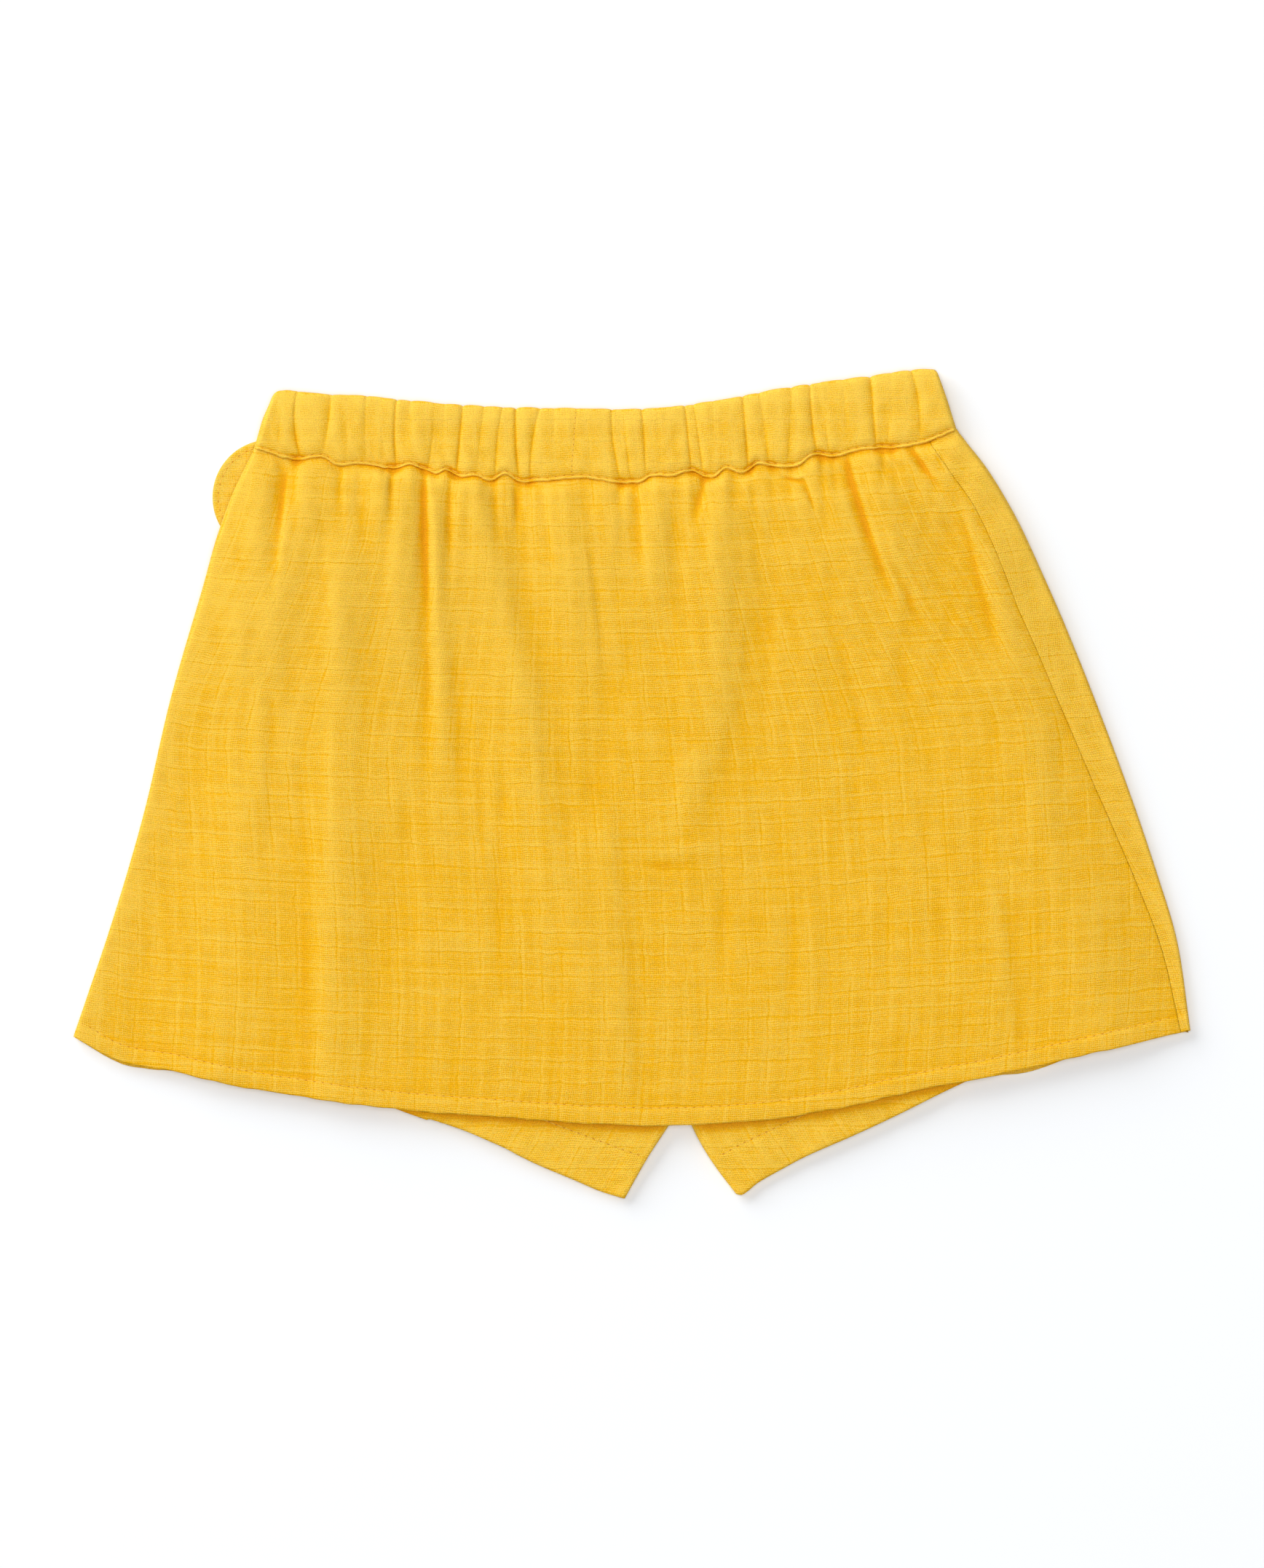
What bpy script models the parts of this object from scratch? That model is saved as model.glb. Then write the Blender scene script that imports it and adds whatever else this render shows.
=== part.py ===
"""A toddler's pull-on culotte skirt in yellow double gauze, laid flat with its back up.

The cloth lies on the XY plane: +X runs to the right of someone who looks down on it, +Y up to
the waist and +Z off the table. Six pieces of cloth, each a wall of its own, lie on each other:
the skirt's front panel, the two legs of the shorts, the skirt's back panel over them, the
gathered waistband above, and a round tab under the left side.

Sizes and tables are in millimetres. A mesh is made in metres.
"""

import math
from typing import NamedTuple

import bmesh
import bpy
import numpy as np

MM = 0.001
JOIN_WITHIN = 1e-6  # metres

# --- Cloth --------------------------------------------------------------------------------------
WALL = 1.0  # double gauze, with its crinkle
BAND_WALL = 2.0  # gauze folded double over elastic
TAB_WALL = 1.4  # two layers, turned out and stitched
SEAM_GAP = 0.3  # between pieces that are sewn or lie together
SIDE_SEAM_GAP = 0.36  # a little more where folds cross the seam
YELLOW = (0.90, 0.50, 0.045)
CLOTH_ROUGHNESS = 0.9

# --- Levels of the layers, from the table up ----------------------------------------------------
LEG_LEVEL = WALL + SEAM_GAP
LEG_LOFT = 2.8  # a leg's two walls and the air between them
OVER_SKIRT = 2 * WALL + SEAM_GAP
OVER_LEGS = LEG_LEVEL + LEG_LOFT + SEAM_GAP + WALL
BAND_LOFT = 5.4  # the flattened waistband, without its gathers
GATHER_HEIGHT = 1.2
SIDE_DEPTH = 0.2  # share of that by which the band is lower at its side folds
HUMP_FULLNESS = 0.7  # below 1, a gather is rounder than a sine

# --- Outlines, as points (x, y) that a smooth curve passes through ------------------------------
WAIST_SEAM = (
    (-114, 101), (-102, 98), (-87, 96.6), (-68, 95.6), (-53, 93.2), (-32, 91.4), (-12, 91.6),
    (6, 92.3), (27, 93.6), (44, 95.8), (58, 98.2), (73, 100.7), (89, 102.9), (98, 106.4),
)
WAIST_RIM = (
    (-108.5, 116.5), (-98, 117.8), (-80, 117.2), (-65, 115.6), (-45, 114.1), (-17, 113.4),
    (4, 113.4), (23, 115.4), (39, 118.3), (53, 120.7), (71, 123), (86, 125), (92, 123),
)
SKIRT_HEM = (
    (-168.6, -76), (-155, -83.6), (-140, -86.3), (-122, -90.5), (-97, -94.7), (-75, -97.6),
    (-37, -100.6), (-11, -102.4), (13, -102.9), (37, -101.5), (56, -98.9), (85, -92.6),
    (113, -87), (138, -81.4), (168.6, -74.4),
)
LEFT_FOLD = (
    (-114, 101), (-120.9, 86.4), (-125, 75), (-129, 61), (-139.2, 26), (-147.5, -9.4),
    (-157.9, -44.6), (-168.6, -76),
)
RIGHT_FOLD = (
    (98, 106.4), (106.5, 96), (114.5, 83), (125, 61), (143, 17), (158.5, -27), (164, -45),
    (168.6, -74.4),
)

# --- Shorts, under the skirt --------------------------------------------------------------------
SHORTS_CENTRE = (-7.5, 90.4)
CROTCH = (15.3, -96.9)
SHORTS_SHORT_OF_SEAM = 2.0
SHORTS_MARGIN = 5.0  # the skirt stays up this far past the shorts
SHORTS_SLOPE = 12.0  # and comes down on its front panel over this length
LEG_DROP = (6.0, 14.0)  # past the skirt's hem, where a leg starts and ends its way to the table
CROTCH_CLOSES = 0.12  # share of the inseam over which its round fold forms


class Leg(NamedTuple):
    """Plan of one leg: its corners, as points (x, y), and how far its hem bows up."""

    name: str
    side: int
    outer_waist: tuple
    outer_crotch: tuple
    outer_hem: tuple
    tip: tuple
    hem_bow: float


LEGS = (
    Leg("shorts_left_leg", -1, (-98, 96), (-112, -50), (-118.3, -80.2), (-1.9, -125.2), 0.6),
    Leg("shorts_right_leg", 1, (89, 100), (127, -46), (134.8, -74.3), (32.2, -124.4), 3.0),
)

# --- Tab ----------------------------------------------------------------------------------------
TAB_CENTRE = (-109.3, 86.6)
TAB_RADIUS = 17.4
TAB_ROOT = 5.5  # from its centre to the side seam that holds it
TAB_CLEAR = 6.0  # the cloth over the tab stays up this far past it
TAB_SLOPE = 12.0  # and comes down to the table over this length
TAB_SPREAD = 7.0  # each layer above stays up this much further


class Furrow(NamedTuple):
    """A line between two gathers of the waistband, from the band's left corner."""

    seam: float
    rim: float
    depth: float


FURROWS = tuple(Furrow(*row) for row in (
    (11, 5.5, 1.0), (16.5, 16, 0.5), (26.5, 21, 0.3), (33, 26, 0.3), (37, 31.5, 0.3),
    (41.5, 36, 1.0), (45.5, 40, 0.4), (51.5, 45, 0.5), (55, 50.5, 0.5), (59.5, 56, 1.0),
    (66.5, 62.5, 0.4), (72.5, 68, 0.6), (78.5, 72.5, 1.0), (83.5, 78.5, 0.5), (90, 84, 0.3),
    (102.5, 95.5, 0.3), (109.5, 101.5, 0.9), (113.5, 105.5, 0.3), (118, 110.5, 0.5),
    (123, 115.5, 0.4), (127.5, 119.5, 0.3), (133.5, 124.5, 1.0), (138.5, 132.5, 0.3),
    (144.5, 137, 0.3), (150, 141.5, 1.0), (154, 145.5, 0.5), (158, 150.5, 0.4),
    (163.5, 156.5, 0.5), (170.5, 162, 1.0), (174, 168, 0.4), (178.5, 173.5, 0.3),
    (188, 179.5, 0.6), (192, 187, 0.4), (199, 193, 0.3),
))


class Fold(NamedTuple):
    """A soft ridge (lift above 0) or trough (below 0) that runs down the skirt."""

    x_top: float
    y_top: float
    x_middle: float
    x_bottom: float
    y_bottom: float
    lift: float
    left: float
    right: float


FOLDS = tuple(Fold(*row) for row in (
    (-101.5, 112, -105, -108, 60, -3.8, 2.8, 4.5),
    (-64, 120, -60.5, -49, -20, -4.4, 3.4, 3.0),
    (-56.5, 110, -54, -46, 0, 1.5, 3.0, 7.0),
    (-52.8, 106, -52, -51, 60, -2.6, 2.4, 2.8),
    (-43.5, 104, -43.5, -43, 58, 1.4, 4.0, 4.0),
    (-36.5, 112, -32.5, -19, 26, -3.0, 3.2, 3.8),
    (-26.7, 104, -26, -25, 60, -1.5, 2.4, 3.0),
    (-12.5, 75, -8, -1, -85, -1.2, 9.0, 9.0),
    (3.8, 108, 3.4, 3, 54, -2.8, 4.0, 2.6),
    (21.7, 104, 21.7, 21.7, 70, -2.4, 2.4, 2.4),
    (45, 110, 49, 53, 35, -2.5, 6.0, 8.0),
    (58.5, 118, 68, 84, 44, -4.2, 3.2, 3.4),
    (72, 112, 83, 97, 82, -2.6, 3.0, 4.0),
    (98, 72, 106, 113, 28, -1.1, 5.0, 3.0),
    (43, 92, 34, 18, -30, 1.9, 12.0, 7.0),
    (-4, -25, -1, 1, -95, 0.9, 10.0, 4.0),
    (-87, 80, -94, -97, -98, 1.7, 10.0, 14.0),
    (-126, 20, -132, -137, -110, -1.0, 8.0, 9.0),
    (-26, 36, -27, -28, -45, 1.0, 9.0, 8.0),
    (15, 72, 16, 18, -28, 1.3, 9.0, 10.0),
))
FOLD_FLARE = 0.8  # a fold is this much wider at its lower end
FADE_IN, FADE_OUT = 0.2, 0.45  # parts of a fold's length over which it starts and ends
TROUGH_FLOOR = 0.5  # how softly a deep trough meets the layers below


class Puff(NamedTuple):
    """Air under the upper panel, by the distance below the waist seam."""

    below_waist: float
    loft: float


PUFFS = tuple(Puff(*row) for row in (
    (0, 1.0), (7, 3.2), (28, 3.4), (70, 2.3), (120, 1.6), (170, 1.2), (210, 0.6),
))

# --- Seams of the skirt -------------------------------------------------------------------------
LEFT_SEAM = 0.052  # share of the way across, underneath, from the left fold to the left seam


class SeamPoint(NamedTuple):
    """Where the right side seam lies on top, at a share of the way down from the waist."""

    down: float
    across: float


RIGHT_SEAM = tuple(SeamPoint(*row) for row in (
    (0, 0.966), (0.15, 0.961), (0.3, 0.96), (0.45, 0.964), (0.6, 0.972), (0.75, 0.982),
    (0.88, 0.99), (1, 0.994),
))


class Peek(NamedTuple):
    """Where the under panel's hem shows below the upper one's."""

    x: float
    reach: float
    drop: float


PEEKS = (Peek(123, 16, 1.3), Peek(-152, 12, 0.8))
PEEK_ONSET = 4  # the power of the way down with which it sets in

# --- Resolution ---------------------------------------------------------------------------------
SKIRT_ROWS = (
    0.0, 0.02, 0.045, 0.075, 0.11, 0.15, 0.2, 0.26, 0.34, 0.44, 0.55, 0.66, 0.77, 0.87, 0.945, 1.0,
)
TOP_COLUMNS, STRIP_COLUMNS, UNDER_COLUMNS, TURN_STEPS = 60, 2, 18, 5
BAND_OUTER_ROWS = (0.0, 0.35, 0.7, 0.93)
BAND_INNER_ROWS = (0.9, 0.45, 0.0)
GATHER_STEPS = 3
LEG_RISE_ROWS, LEG_HEM_ROWS = 6, 9
LEG_TOP_COLUMNS, LEG_UNDER_COLUMNS, LEG_TURN_STEPS = 10, 8, 3
TAB_ARC_STEPS = 18


def ramp(value, start, end):
    """0 before start, 1 after end, and a smooth step between."""
    part = min(max((value - start) / (end - start), 0.0), 1.0)
    return part * part * (3 - 2 * part)


def between(first, second, share):
    """The value or point at this share of the way from first to second."""
    if isinstance(first, tuple):
        return tuple(a + (b - a) * share for a, b in zip(first, second))
    return first + (second - first) * share


def along(points, share):
    """The point at this share of the length of a smooth curve through the points."""
    knots = np.array(points, float)
    steps = np.linalg.norm(np.diff(knots, axis=0), axis=1)
    marks = np.concatenate([[0.0], np.cumsum(steps)]) / steps.sum()
    slopes = np.gradient(knots, marks, axis=0)
    k = int(np.clip(np.searchsorted(marks, share, side="right") - 1, 0, len(steps) - 1))
    span = marks[k + 1] - marks[k]
    f = (share - marks[k]) / span
    start = (1 + 2 * f) * (1 - f) ** 2 * knots[k] + f * (1 - f) ** 2 * span * slopes[k]
    end = f * f * (3 - 2 * f) * knots[k + 1] + f * f * (f - 1) * span * slopes[k + 1]
    return tuple(start + end)


def level_of(points, x):
    """The y of an outline above or below this x."""
    return float(np.interp(x, [p[0] for p in points], [p[1] for p in points]))


# --- Plan ---------------------------------------------------------------------------------------
def skirt_plan(across, down):
    """Plan point of the skirt: across from the left fold, down from the waist seam to the hem."""
    waist, hem = along(WAIST_SEAM, across), along(SKIRT_HEM, across)
    left, right = along(LEFT_FOLD, down), along(RIGHT_FOLD, down)
    corners = between(
        between(WAIST_SEAM[0], WAIST_SEAM[-1], across),
        between(SKIRT_HEM[0], SKIRT_HEM[-1], across),
        down,
    )
    sides, ends = between(left, right, across), between(waist, hem, down)
    return tuple(s + e - c for s, e, c in zip(sides, ends, corners))


def band_plan(across, up):
    """Plan point of the waistband: across from its left corner, up from the seam to the rim."""
    return between(along(WAIST_SEAM, across), along(WAIST_RIM, across), up)


def outside_shorts(x, y):
    """How far a plan point lies outside the shorts, roughly; negative inside them."""
    left, right = LEGS
    down = (left.outer_waist[1] - y) / (left.outer_waist[1] - left.outer_hem[1])
    past_left = between(left.outer_waist[0], left.outer_hem[0], down) - x
    down = (right.outer_waist[1] - y) / (right.outer_waist[1] - right.outer_hem[1])
    past_right = x - between(right.outer_waist[0], right.outer_hem[0], down)
    hem = (left.outer_hem, left.tip, right.tip, right.outer_hem)
    return max(past_left, past_right, level_of(hem, x) - y)


def past_tab(x, y):
    """How far a plan point lies outside the tab, roughly."""
    return math.hypot(x - TAB_CENTRE[0], y - TAB_CENTRE[1]) - TAB_RADIUS


# --- Heights ------------------------------------------------------------------------------------
def tab_lift(x, y, layer=0):
    """How far the tab lifts the cloth over it: layer 0 is the lowest one."""
    start = TAB_CLEAR + TAB_SPREAD * layer
    return (TAB_WALL + SEAM_GAP) * (1 - ramp(past_tab(x, y), start, start + TAB_SLOPE))


def fold_lift(fold, x, y):
    """What one fold adds to the height at a plan point."""
    run = (fold.y_top - y) / (fold.y_top - fold.y_bottom)
    if not 0 < run < 1:
        return 0.0
    line = (
        fold.x_top * (1 - run) * (1 - 2 * run)
        + fold.x_middle * 4 * run * (1 - run)
        + fold.x_bottom * run * (2 * run - 1)
    )
    flank = (fold.left if x < line else fold.right) * (1 + FOLD_FLARE * run)
    fade = ramp(run, 0, FADE_IN) * (1 - ramp(run, 1 - FADE_OUT, 1))
    return fold.lift * fade * math.exp(-(((x - line) / flank) ** 2))


def puff(x, y):
    """The air that the upper panel holds at a plan point."""
    below = level_of(WAIST_SEAM, x) - y
    return float(np.interp(below, [p.below_waist for p in PUFFS], [p.loft for p in PUFFS]))


def skirt_height(across, x, y):
    """Outer face of the upper panel, over what it lies on and with its folds."""
    past_shorts = ramp(outside_shorts(x, y), SHORTS_MARGIN, SHORTS_MARGIN + SHORTS_SLOPE)
    rest = between(OVER_LEGS, OVER_SKIRT, past_shorts)
    lift = puff(x, y) + sum(fold_lift(fold, x, y) for fold in FOLDS)
    return tab_lift(x, y, 2) + rest + 0.5 * (lift + math.hypot(lift, TROUGH_FLOOR))


def furrows_at(up):
    """Shares of the band's width at which its furrows lie, at this height up the band."""
    widths = [p[-1][0] - p[0][0] for p in (WAIST_SEAM, WAIST_RIM)]
    return [between(f.seam / widths[0], f.rim / widths[1], up) for f in FURROWS]


def gather_height(across, up):
    """Height of the gathers over the plain band: a rounded hump between two furrows."""
    marks = [0.0] + furrows_at(up) + [1.0]
    depths = [SIDE_DEPTH] + [f.depth for f in FURROWS] + [SIDE_DEPTH]
    k = int(np.clip(np.searchsorted(marks, across, side="right") - 1, 0, len(marks) - 2))
    share = (across - marks[k]) / (marks[k + 1] - marks[k])
    hump = max(math.sin(math.pi * min(max(share, 0), 1)), 0) ** HUMP_FULLNESS
    floor = 1 - between(depths[k], depths[k + 1], share)
    return GATHER_HEIGHT * (floor * (1 - hump) + hump)


# --- Meshes -------------------------------------------------------------------------------------
def sheet(columns, rows, place, flip=False, leave_out=None):
    """A grid of columns by rows whose corners are moved to place(column, row).

    Corners that meet are joined. leave_out(column, row) says which of its faces are open, and
    flip turns the faces round where the columns run the other way about the cloth.
    """
    grid = bmesh.new()
    bmesh.ops.create_grid(grid, x_segments=columns, y_segments=rows, size=1)
    if leave_out:
        corners = [(face, face.calc_center_median()) for face in grid.faces]
        open_faces = [
            face for face, middle in corners
            if leave_out(int((middle.x + 1) / 2 * columns), int((middle.y + 1) / 2 * rows))
        ]
        bmesh.ops.delete(grid, geom=open_faces, context="FACES")
    for vert in grid.verts:
        column = round((vert.co.x + 1) / 2 * columns)
        row = round((vert.co.y + 1) / 2 * rows)
        vert.co = [value * MM for value in place(column, row)]
    bmesh.ops.remove_doubles(grid, verts=grid.verts, dist=JOIN_WITHIN)
    if flip:
        bmesh.ops.reverse_faces(grid, faces=grid.faces)
    return grid


def cloth_object(name, grid, collection, wall=0.0):
    """An object for this mesh, in cloth, with a wall inwards from its outer face."""
    mesh = bpy.data.meshes.new(name)
    grid.to_mesh(mesh)
    grid.free()
    mesh.shade_smooth()
    piece = bpy.data.objects.new(name, mesh)
    collection.objects.link(piece)
    piece.data.materials.append(cloth_material(name + "_gauze"))
    if wall:
        shell = piece.modifiers.new("wall", "SOLIDIFY")
        shell.thickness = wall * MM
        shell.offset = -1
    return piece


def cloth_material(name):
    """Matt yellow cotton."""
    material = bpy.data.materials.new(name)
    material.use_nodes = True
    shader = material.node_tree.nodes["Principled BSDF"]
    shader.inputs["Base Color"].default_value = (*YELLOW, 1)
    shader.inputs["Roughness"].default_value = CLOTH_ROUGHNESS
    shader.inputs["Metallic"].default_value = 0
    return material


def ring_point(plan, height, across, turn, inset=0.0):
    """Point of a flattened ring of cloth.

    across runs from the left fold (0) to the right one (1). turn is the way the wall faces:
    90 up, 0 out to the side and -90 down. The folds are rounded. inset is the depth of the
    point inside the wall.
    """
    width = math.dist(plan(0), plan(1))
    side = round(across)
    edge = plan(side)
    radius = (height(side, *edge) - tab_lift(*edge)) / 2 - inset
    tuck = (inset + radius * (1 - math.cos(math.radians(turn)))) / width
    x, y = plan(tuck + across * (1 - 2 * tuck))
    low, high = tab_lift(x, y) + inset, height(across, x, y) - inset
    return x, y, between(low, high, (1 + math.sin(math.radians(turn))) / 2)


def turns(side, steps):
    """Stations round a side fold, from underneath to the top on the left, down on the right."""
    angles = [-90 + 180 * k / steps for k in range(steps + 1)]
    return [(0.0, a) for a in angles] if side < 0 else [(1.0, -a) for a in angles]


def run(start, end, steps, turn):
    """Stations across a flat stretch, without its first one."""
    return [(between(start, end, k / steps), turn) for k in range(1, steps + 1)]


def skirt_panel(name, stations, collection):
    """A panel of the skirt, through stations (across, turn) given for each row."""

    def place(column, row):
        down = SKIRT_ROWS[row]
        across, turn = stations(down)[column]
        x, y, z = ring_point(lambda a: skirt_plan(a, down), skirt_height, across, turn)
        y -= SEAM_GAP * (1 - down)
        if turn < 0:
            drops = [p.drop * math.exp(-(((x - p.x) / p.reach) ** 2)) for p in PEEKS]
            y -= down ** PEEK_ONSET * sum(drops)
        return x, y, z

    count = len(stations(0)) - 1
    grid = sheet(count, len(SKIRT_ROWS) - 1, place, flip=True)
    return cloth_object(name, grid, collection, WALL)


def side_seam(down):
    """Share of the way across the top at which the right side seam lies."""
    return float(np.interp(down, [p.down for p in RIGHT_SEAM], [p.across for p in RIGHT_SEAM]))


def back_stations(down):
    """The back panel: a strip underneath, round the left fold and across the top."""
    width = math.dist(skirt_plan(0, down), skirt_plan(1, down))
    half_gap = SIDE_SEAM_GAP / 2 / width
    strip = run(LEFT_SEAM - half_gap, 0.0, STRIP_COLUMNS, -90)
    return (
        [(LEFT_SEAM - half_gap, -90)] + strip[:-1] + turns(-1, TURN_STEPS)
        + run(0.0, side_seam(down) - half_gap, TOP_COLUMNS, 90)
    )


def front_stations(down):
    """The front panel: from the right seam on top, round the right fold and underneath."""
    width = math.dist(skirt_plan(0, down), skirt_plan(1, down))
    half_gap = SIDE_SEAM_GAP / 2 / width
    seam = side_seam(down) + half_gap
    top = [(seam, 90)] + run(seam, 1.0, STRIP_COLUMNS, 90)[:-1]
    return (
        top + turns(1, TURN_STEPS) + run(1.0, LEFT_SEAM + half_gap, UNDER_COLUMNS, -90)
    )


def make_waistband(collection):
    """The gathered band: a closed ring whose wall is folded over at the rim."""
    nose = [(1.0, BAND_WALL / 2)]
    wall_rows = (
        [(up, 0.0) for up in BAND_OUTER_ROWS] + nose + [(up, BAND_WALL) for up in BAND_INNER_ROWS]
    )

    def stations(up):
        marks = [0.0] + furrows_at(up) + [1.0]
        top = []
        for start, end in zip(marks, marks[1:]):
            top += run(start, end, GATHER_STEPS, 90)
        return (
            turns(-1, TURN_STEPS) + top[:-1] + turns(1, TURN_STEPS)
            + run(1.0, 0.0, UNDER_COLUMNS, -90)
        )

    def place(column, row):
        up, inset = wall_rows[row % len(wall_rows)]
        across, turn = stations(up)[column]

        def height(across_here, x, y):
            gathers = 0 if inset else gather_height(across_here, up)
            return BAND_LOFT + gathers + tab_lift(x, y)

        x, y, z = ring_point(lambda a: band_plan(a, up), height, across, turn, inset)
        return x, y + SEAM_GAP * (1 - up), z

    count = len(stations(0)) - 1
    grid = sheet(count, len(wall_rows), place)
    return cloth_object("waistband", grid, collection)


def leg_rows():
    """Rows down a leg: (share of the rise, share of the inseam)."""
    rise = [(k / LEG_RISE_ROWS, 0.0) for k in range(LEG_RISE_ROWS + 1)]
    return rise + [(1.0, k / LEG_HEM_ROWS) for k in range(1, LEG_HEM_ROWS + 1)]


def leg_height(x, y):
    """Underside of a leg: on the skirt's front panel, and down on the table past its hem."""
    past_hem = level_of(SKIRT_HEM, x) - y
    return LEG_LEVEL * (1 - ramp(past_hem, *LEG_DROP)) + tab_lift(x, y, 1)


def make_leg(leg, collection):
    """A leg of the shorts: folded at its outer side, and a tube below the crotch."""
    rows = leg_rows()
    half = LEG_LOFT / 2
    inseam_fold = [(0.0, turn) for _, turn in turns(-1, LEG_TURN_STEPS)][1:]
    stations = (
        [(0.0, 90)] + run(0.0, 1.0, LEG_TOP_COLUMNS, 90)[:-1] + turns(1, LEG_TURN_STEPS)
        + run(1.0, 0.0, LEG_UNDER_COLUMNS, -90) + inseam_fold
    )
    first_inner = len(stations) - 1 - LEG_TURN_STEPS

    def place(column, row):
        rise, inseam = rows[row]
        across, turn = stations[column]
        centre = between(between(SHORTS_CENTRE, CROTCH, rise), leg.tip, inseam)
        outer = between(between(leg.outer_waist, leg.outer_crotch, rise), leg.outer_hem, inseam)
        width = math.dist(centre, outer)
        radius = half * (1 - math.cos(math.radians(turn)))
        tuck = radius if across == 1 else half
        closed = radius if across == 0 else half
        inner = between(SEAM_GAP / 2, closed, ramp(inseam, 0, CROTCH_CLOSES))
        share = (inner + across * (width - tuck - inner)) / width
        x, y = between(centre, outer, share)
        y += leg.hem_bow * inseam * 4 * share * (1 - share)
        if rise == 0:
            y = level_of(WAIST_SEAM, x) - SHORTS_SHORT_OF_SEAM
        z = leg_height(x, y) + LEG_LOFT * (1 + math.sin(math.radians(turn))) / 2
        return x, y, z

    def above_crotch(column, row):
        return column >= first_inner and row < LEG_RISE_ROWS

    grid = sheet(len(stations) - 1, len(rows) - 1, place, leg.side > 0, above_crotch)
    return cloth_object(leg.name, grid, collection, WALL)


def make_tab(collection):
    """The tab: a round-ended flap on the table, its straight end at the left side seam."""
    outline = bpy.data.curves.new("side_tab", "CURVE")
    outline.dimensions = "2D"
    outline.fill_mode = "BOTH"
    outline.extrude = TAB_WALL / 2 * MM
    root = math.acos(TAB_ROOT / TAB_RADIUS)
    spline = outline.splines.new("POLY")
    spline.points.add(TAB_ARC_STEPS)
    for k, point in enumerate(spline.points):
        angle = between(root, 2 * math.pi - root, k / TAB_ARC_STEPS)
        x = TAB_CENTRE[0] + TAB_RADIUS * math.cos(angle)
        y = TAB_CENTRE[1] + TAB_RADIUS * math.sin(angle)
        point.co = (x * MM, y * MM, 0, 1)
    spline.use_cyclic_u = True
    piece = bpy.data.objects.new("side_tab", outline)
    piece.location.z = TAB_WALL / 2 * MM
    outline.materials.append(cloth_material("side_tab_gauze"))
    collection.objects.link(piece)
    return piece


def main():
    """Clears the scene and sews the culotte skirt."""
    for item in list(bpy.data.objects):
        bpy.data.objects.remove(item)
    collection = bpy.data.collections.new("culotte_skirt")
    bpy.context.scene.collection.children.link(collection)
    skirt_panel("skirt_front", front_stations, collection)
    skirt_panel("skirt_back", back_stations, collection)
    for leg in LEGS:
        make_leg(leg, collection)
    make_waistband(collection)
    make_tab(collection)


main()
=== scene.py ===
"""Looks of a toddler's culotte skirt in yellow double gauze, laid flat with its back up.

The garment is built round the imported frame. Each piece of cloth stands for one node of it and
keeps that node's form, with finer gathers, creases, hems and stitches. Sizes and tables are in
millimetres, +X to the right and +Y up to the waist as one looks down on it, and +Z off the table.
Meshes are made in metres.
"""

from __future__ import annotations

import logging
import math
from collections.abc import Callable
from dataclasses import dataclass, field
from enum import Enum
from typing import NamedTuple

import bmesh
import bpy
import numpy as np
from mathutils import Matrix, Vector

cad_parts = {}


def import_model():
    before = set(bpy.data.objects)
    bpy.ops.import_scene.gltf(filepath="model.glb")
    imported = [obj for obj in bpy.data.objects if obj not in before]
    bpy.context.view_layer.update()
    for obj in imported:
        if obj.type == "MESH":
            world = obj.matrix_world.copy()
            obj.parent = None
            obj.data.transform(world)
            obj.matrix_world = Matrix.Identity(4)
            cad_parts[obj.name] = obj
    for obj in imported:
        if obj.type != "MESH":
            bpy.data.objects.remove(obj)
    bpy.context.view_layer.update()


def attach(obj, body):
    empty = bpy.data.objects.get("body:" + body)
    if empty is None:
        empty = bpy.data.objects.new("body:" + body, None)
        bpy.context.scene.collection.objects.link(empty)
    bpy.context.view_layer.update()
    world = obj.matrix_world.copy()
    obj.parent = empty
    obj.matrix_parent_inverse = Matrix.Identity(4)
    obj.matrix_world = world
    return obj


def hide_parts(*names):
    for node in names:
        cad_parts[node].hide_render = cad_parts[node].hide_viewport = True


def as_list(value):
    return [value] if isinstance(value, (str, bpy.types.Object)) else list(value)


LOG = logging.getLogger("culotte_skirt")
Array = np.ndarray
Colour = tuple[float, float, float]

MM = 0.001
JOIN_WITHIN = 1e-6  # metres
BODY = "root"
CLOTH_MAP = "cloth"  # UV map along the yarns, in metres
RELIEF_SHADE = "relief_shade"  # how far a point stands over or under the cloth round it, -1 to 1, with painted shade and light added
PIT = "pit"  # how deep a stitch dives in the cloth, 0 to 1, where its thread gets painted shade

# --- Cloth --------------------------------------------------------------------------------------
WALL = 1.0
BAND_WALL = 2.0
TAB_WALL = 1.4
SEAM_GAP = 0.3
BAND_WIDTH, BAND_HEIGHT, BAND_STITCH_UP = 206.0, 23.0, 1.3
SKIRT_WIDTHS = (212.0, 337.0)  # at the waist and at the hem
SKIRT_LENGTH, SKIRT_HEM_DEPTH = 190.0, 5.0
LEG_RISE, LEG_INSEAM, LEG_OUTSEAM, LEG_HEM_DEPTH = 180.0, 28.3, 32.0, 12.0
SEAM_WAVE_FADES = 9.0  # how far from the waist seam its waves die out
FACES_UP = 60.0  # a wall turned further up than this, in degrees, belongs to the top face

# --- Levels of the layers, from the table up ----------------------------------------------------
LEG_LEVEL = WALL + SEAM_GAP
LEG_LOFT = 2.8
OVER_SKIRT = 2 * WALL + SEAM_GAP
OVER_LEGS = LEG_LEVEL + LEG_LOFT + SEAM_GAP + WALL
BAND_LOFT = 5.4
GATHER_HEIGHT = 1.2
SIDE_DEPTH = 0.2
TROUGH_FLOOR = 0.5
SHORTS_MARGIN, SHORTS_SLOPE = 3.0, 30.0
LEG_DROP = (3.0, 22.0)
CROTCH_CLOSES = 0.12
SHORTS_SHORT_OF_SEAM = 2.0


class Side(Enum):
    """Which way round a leg or a fold lies, as the sign of its x."""

    LEFT = -1
    RIGHT = 1


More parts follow.
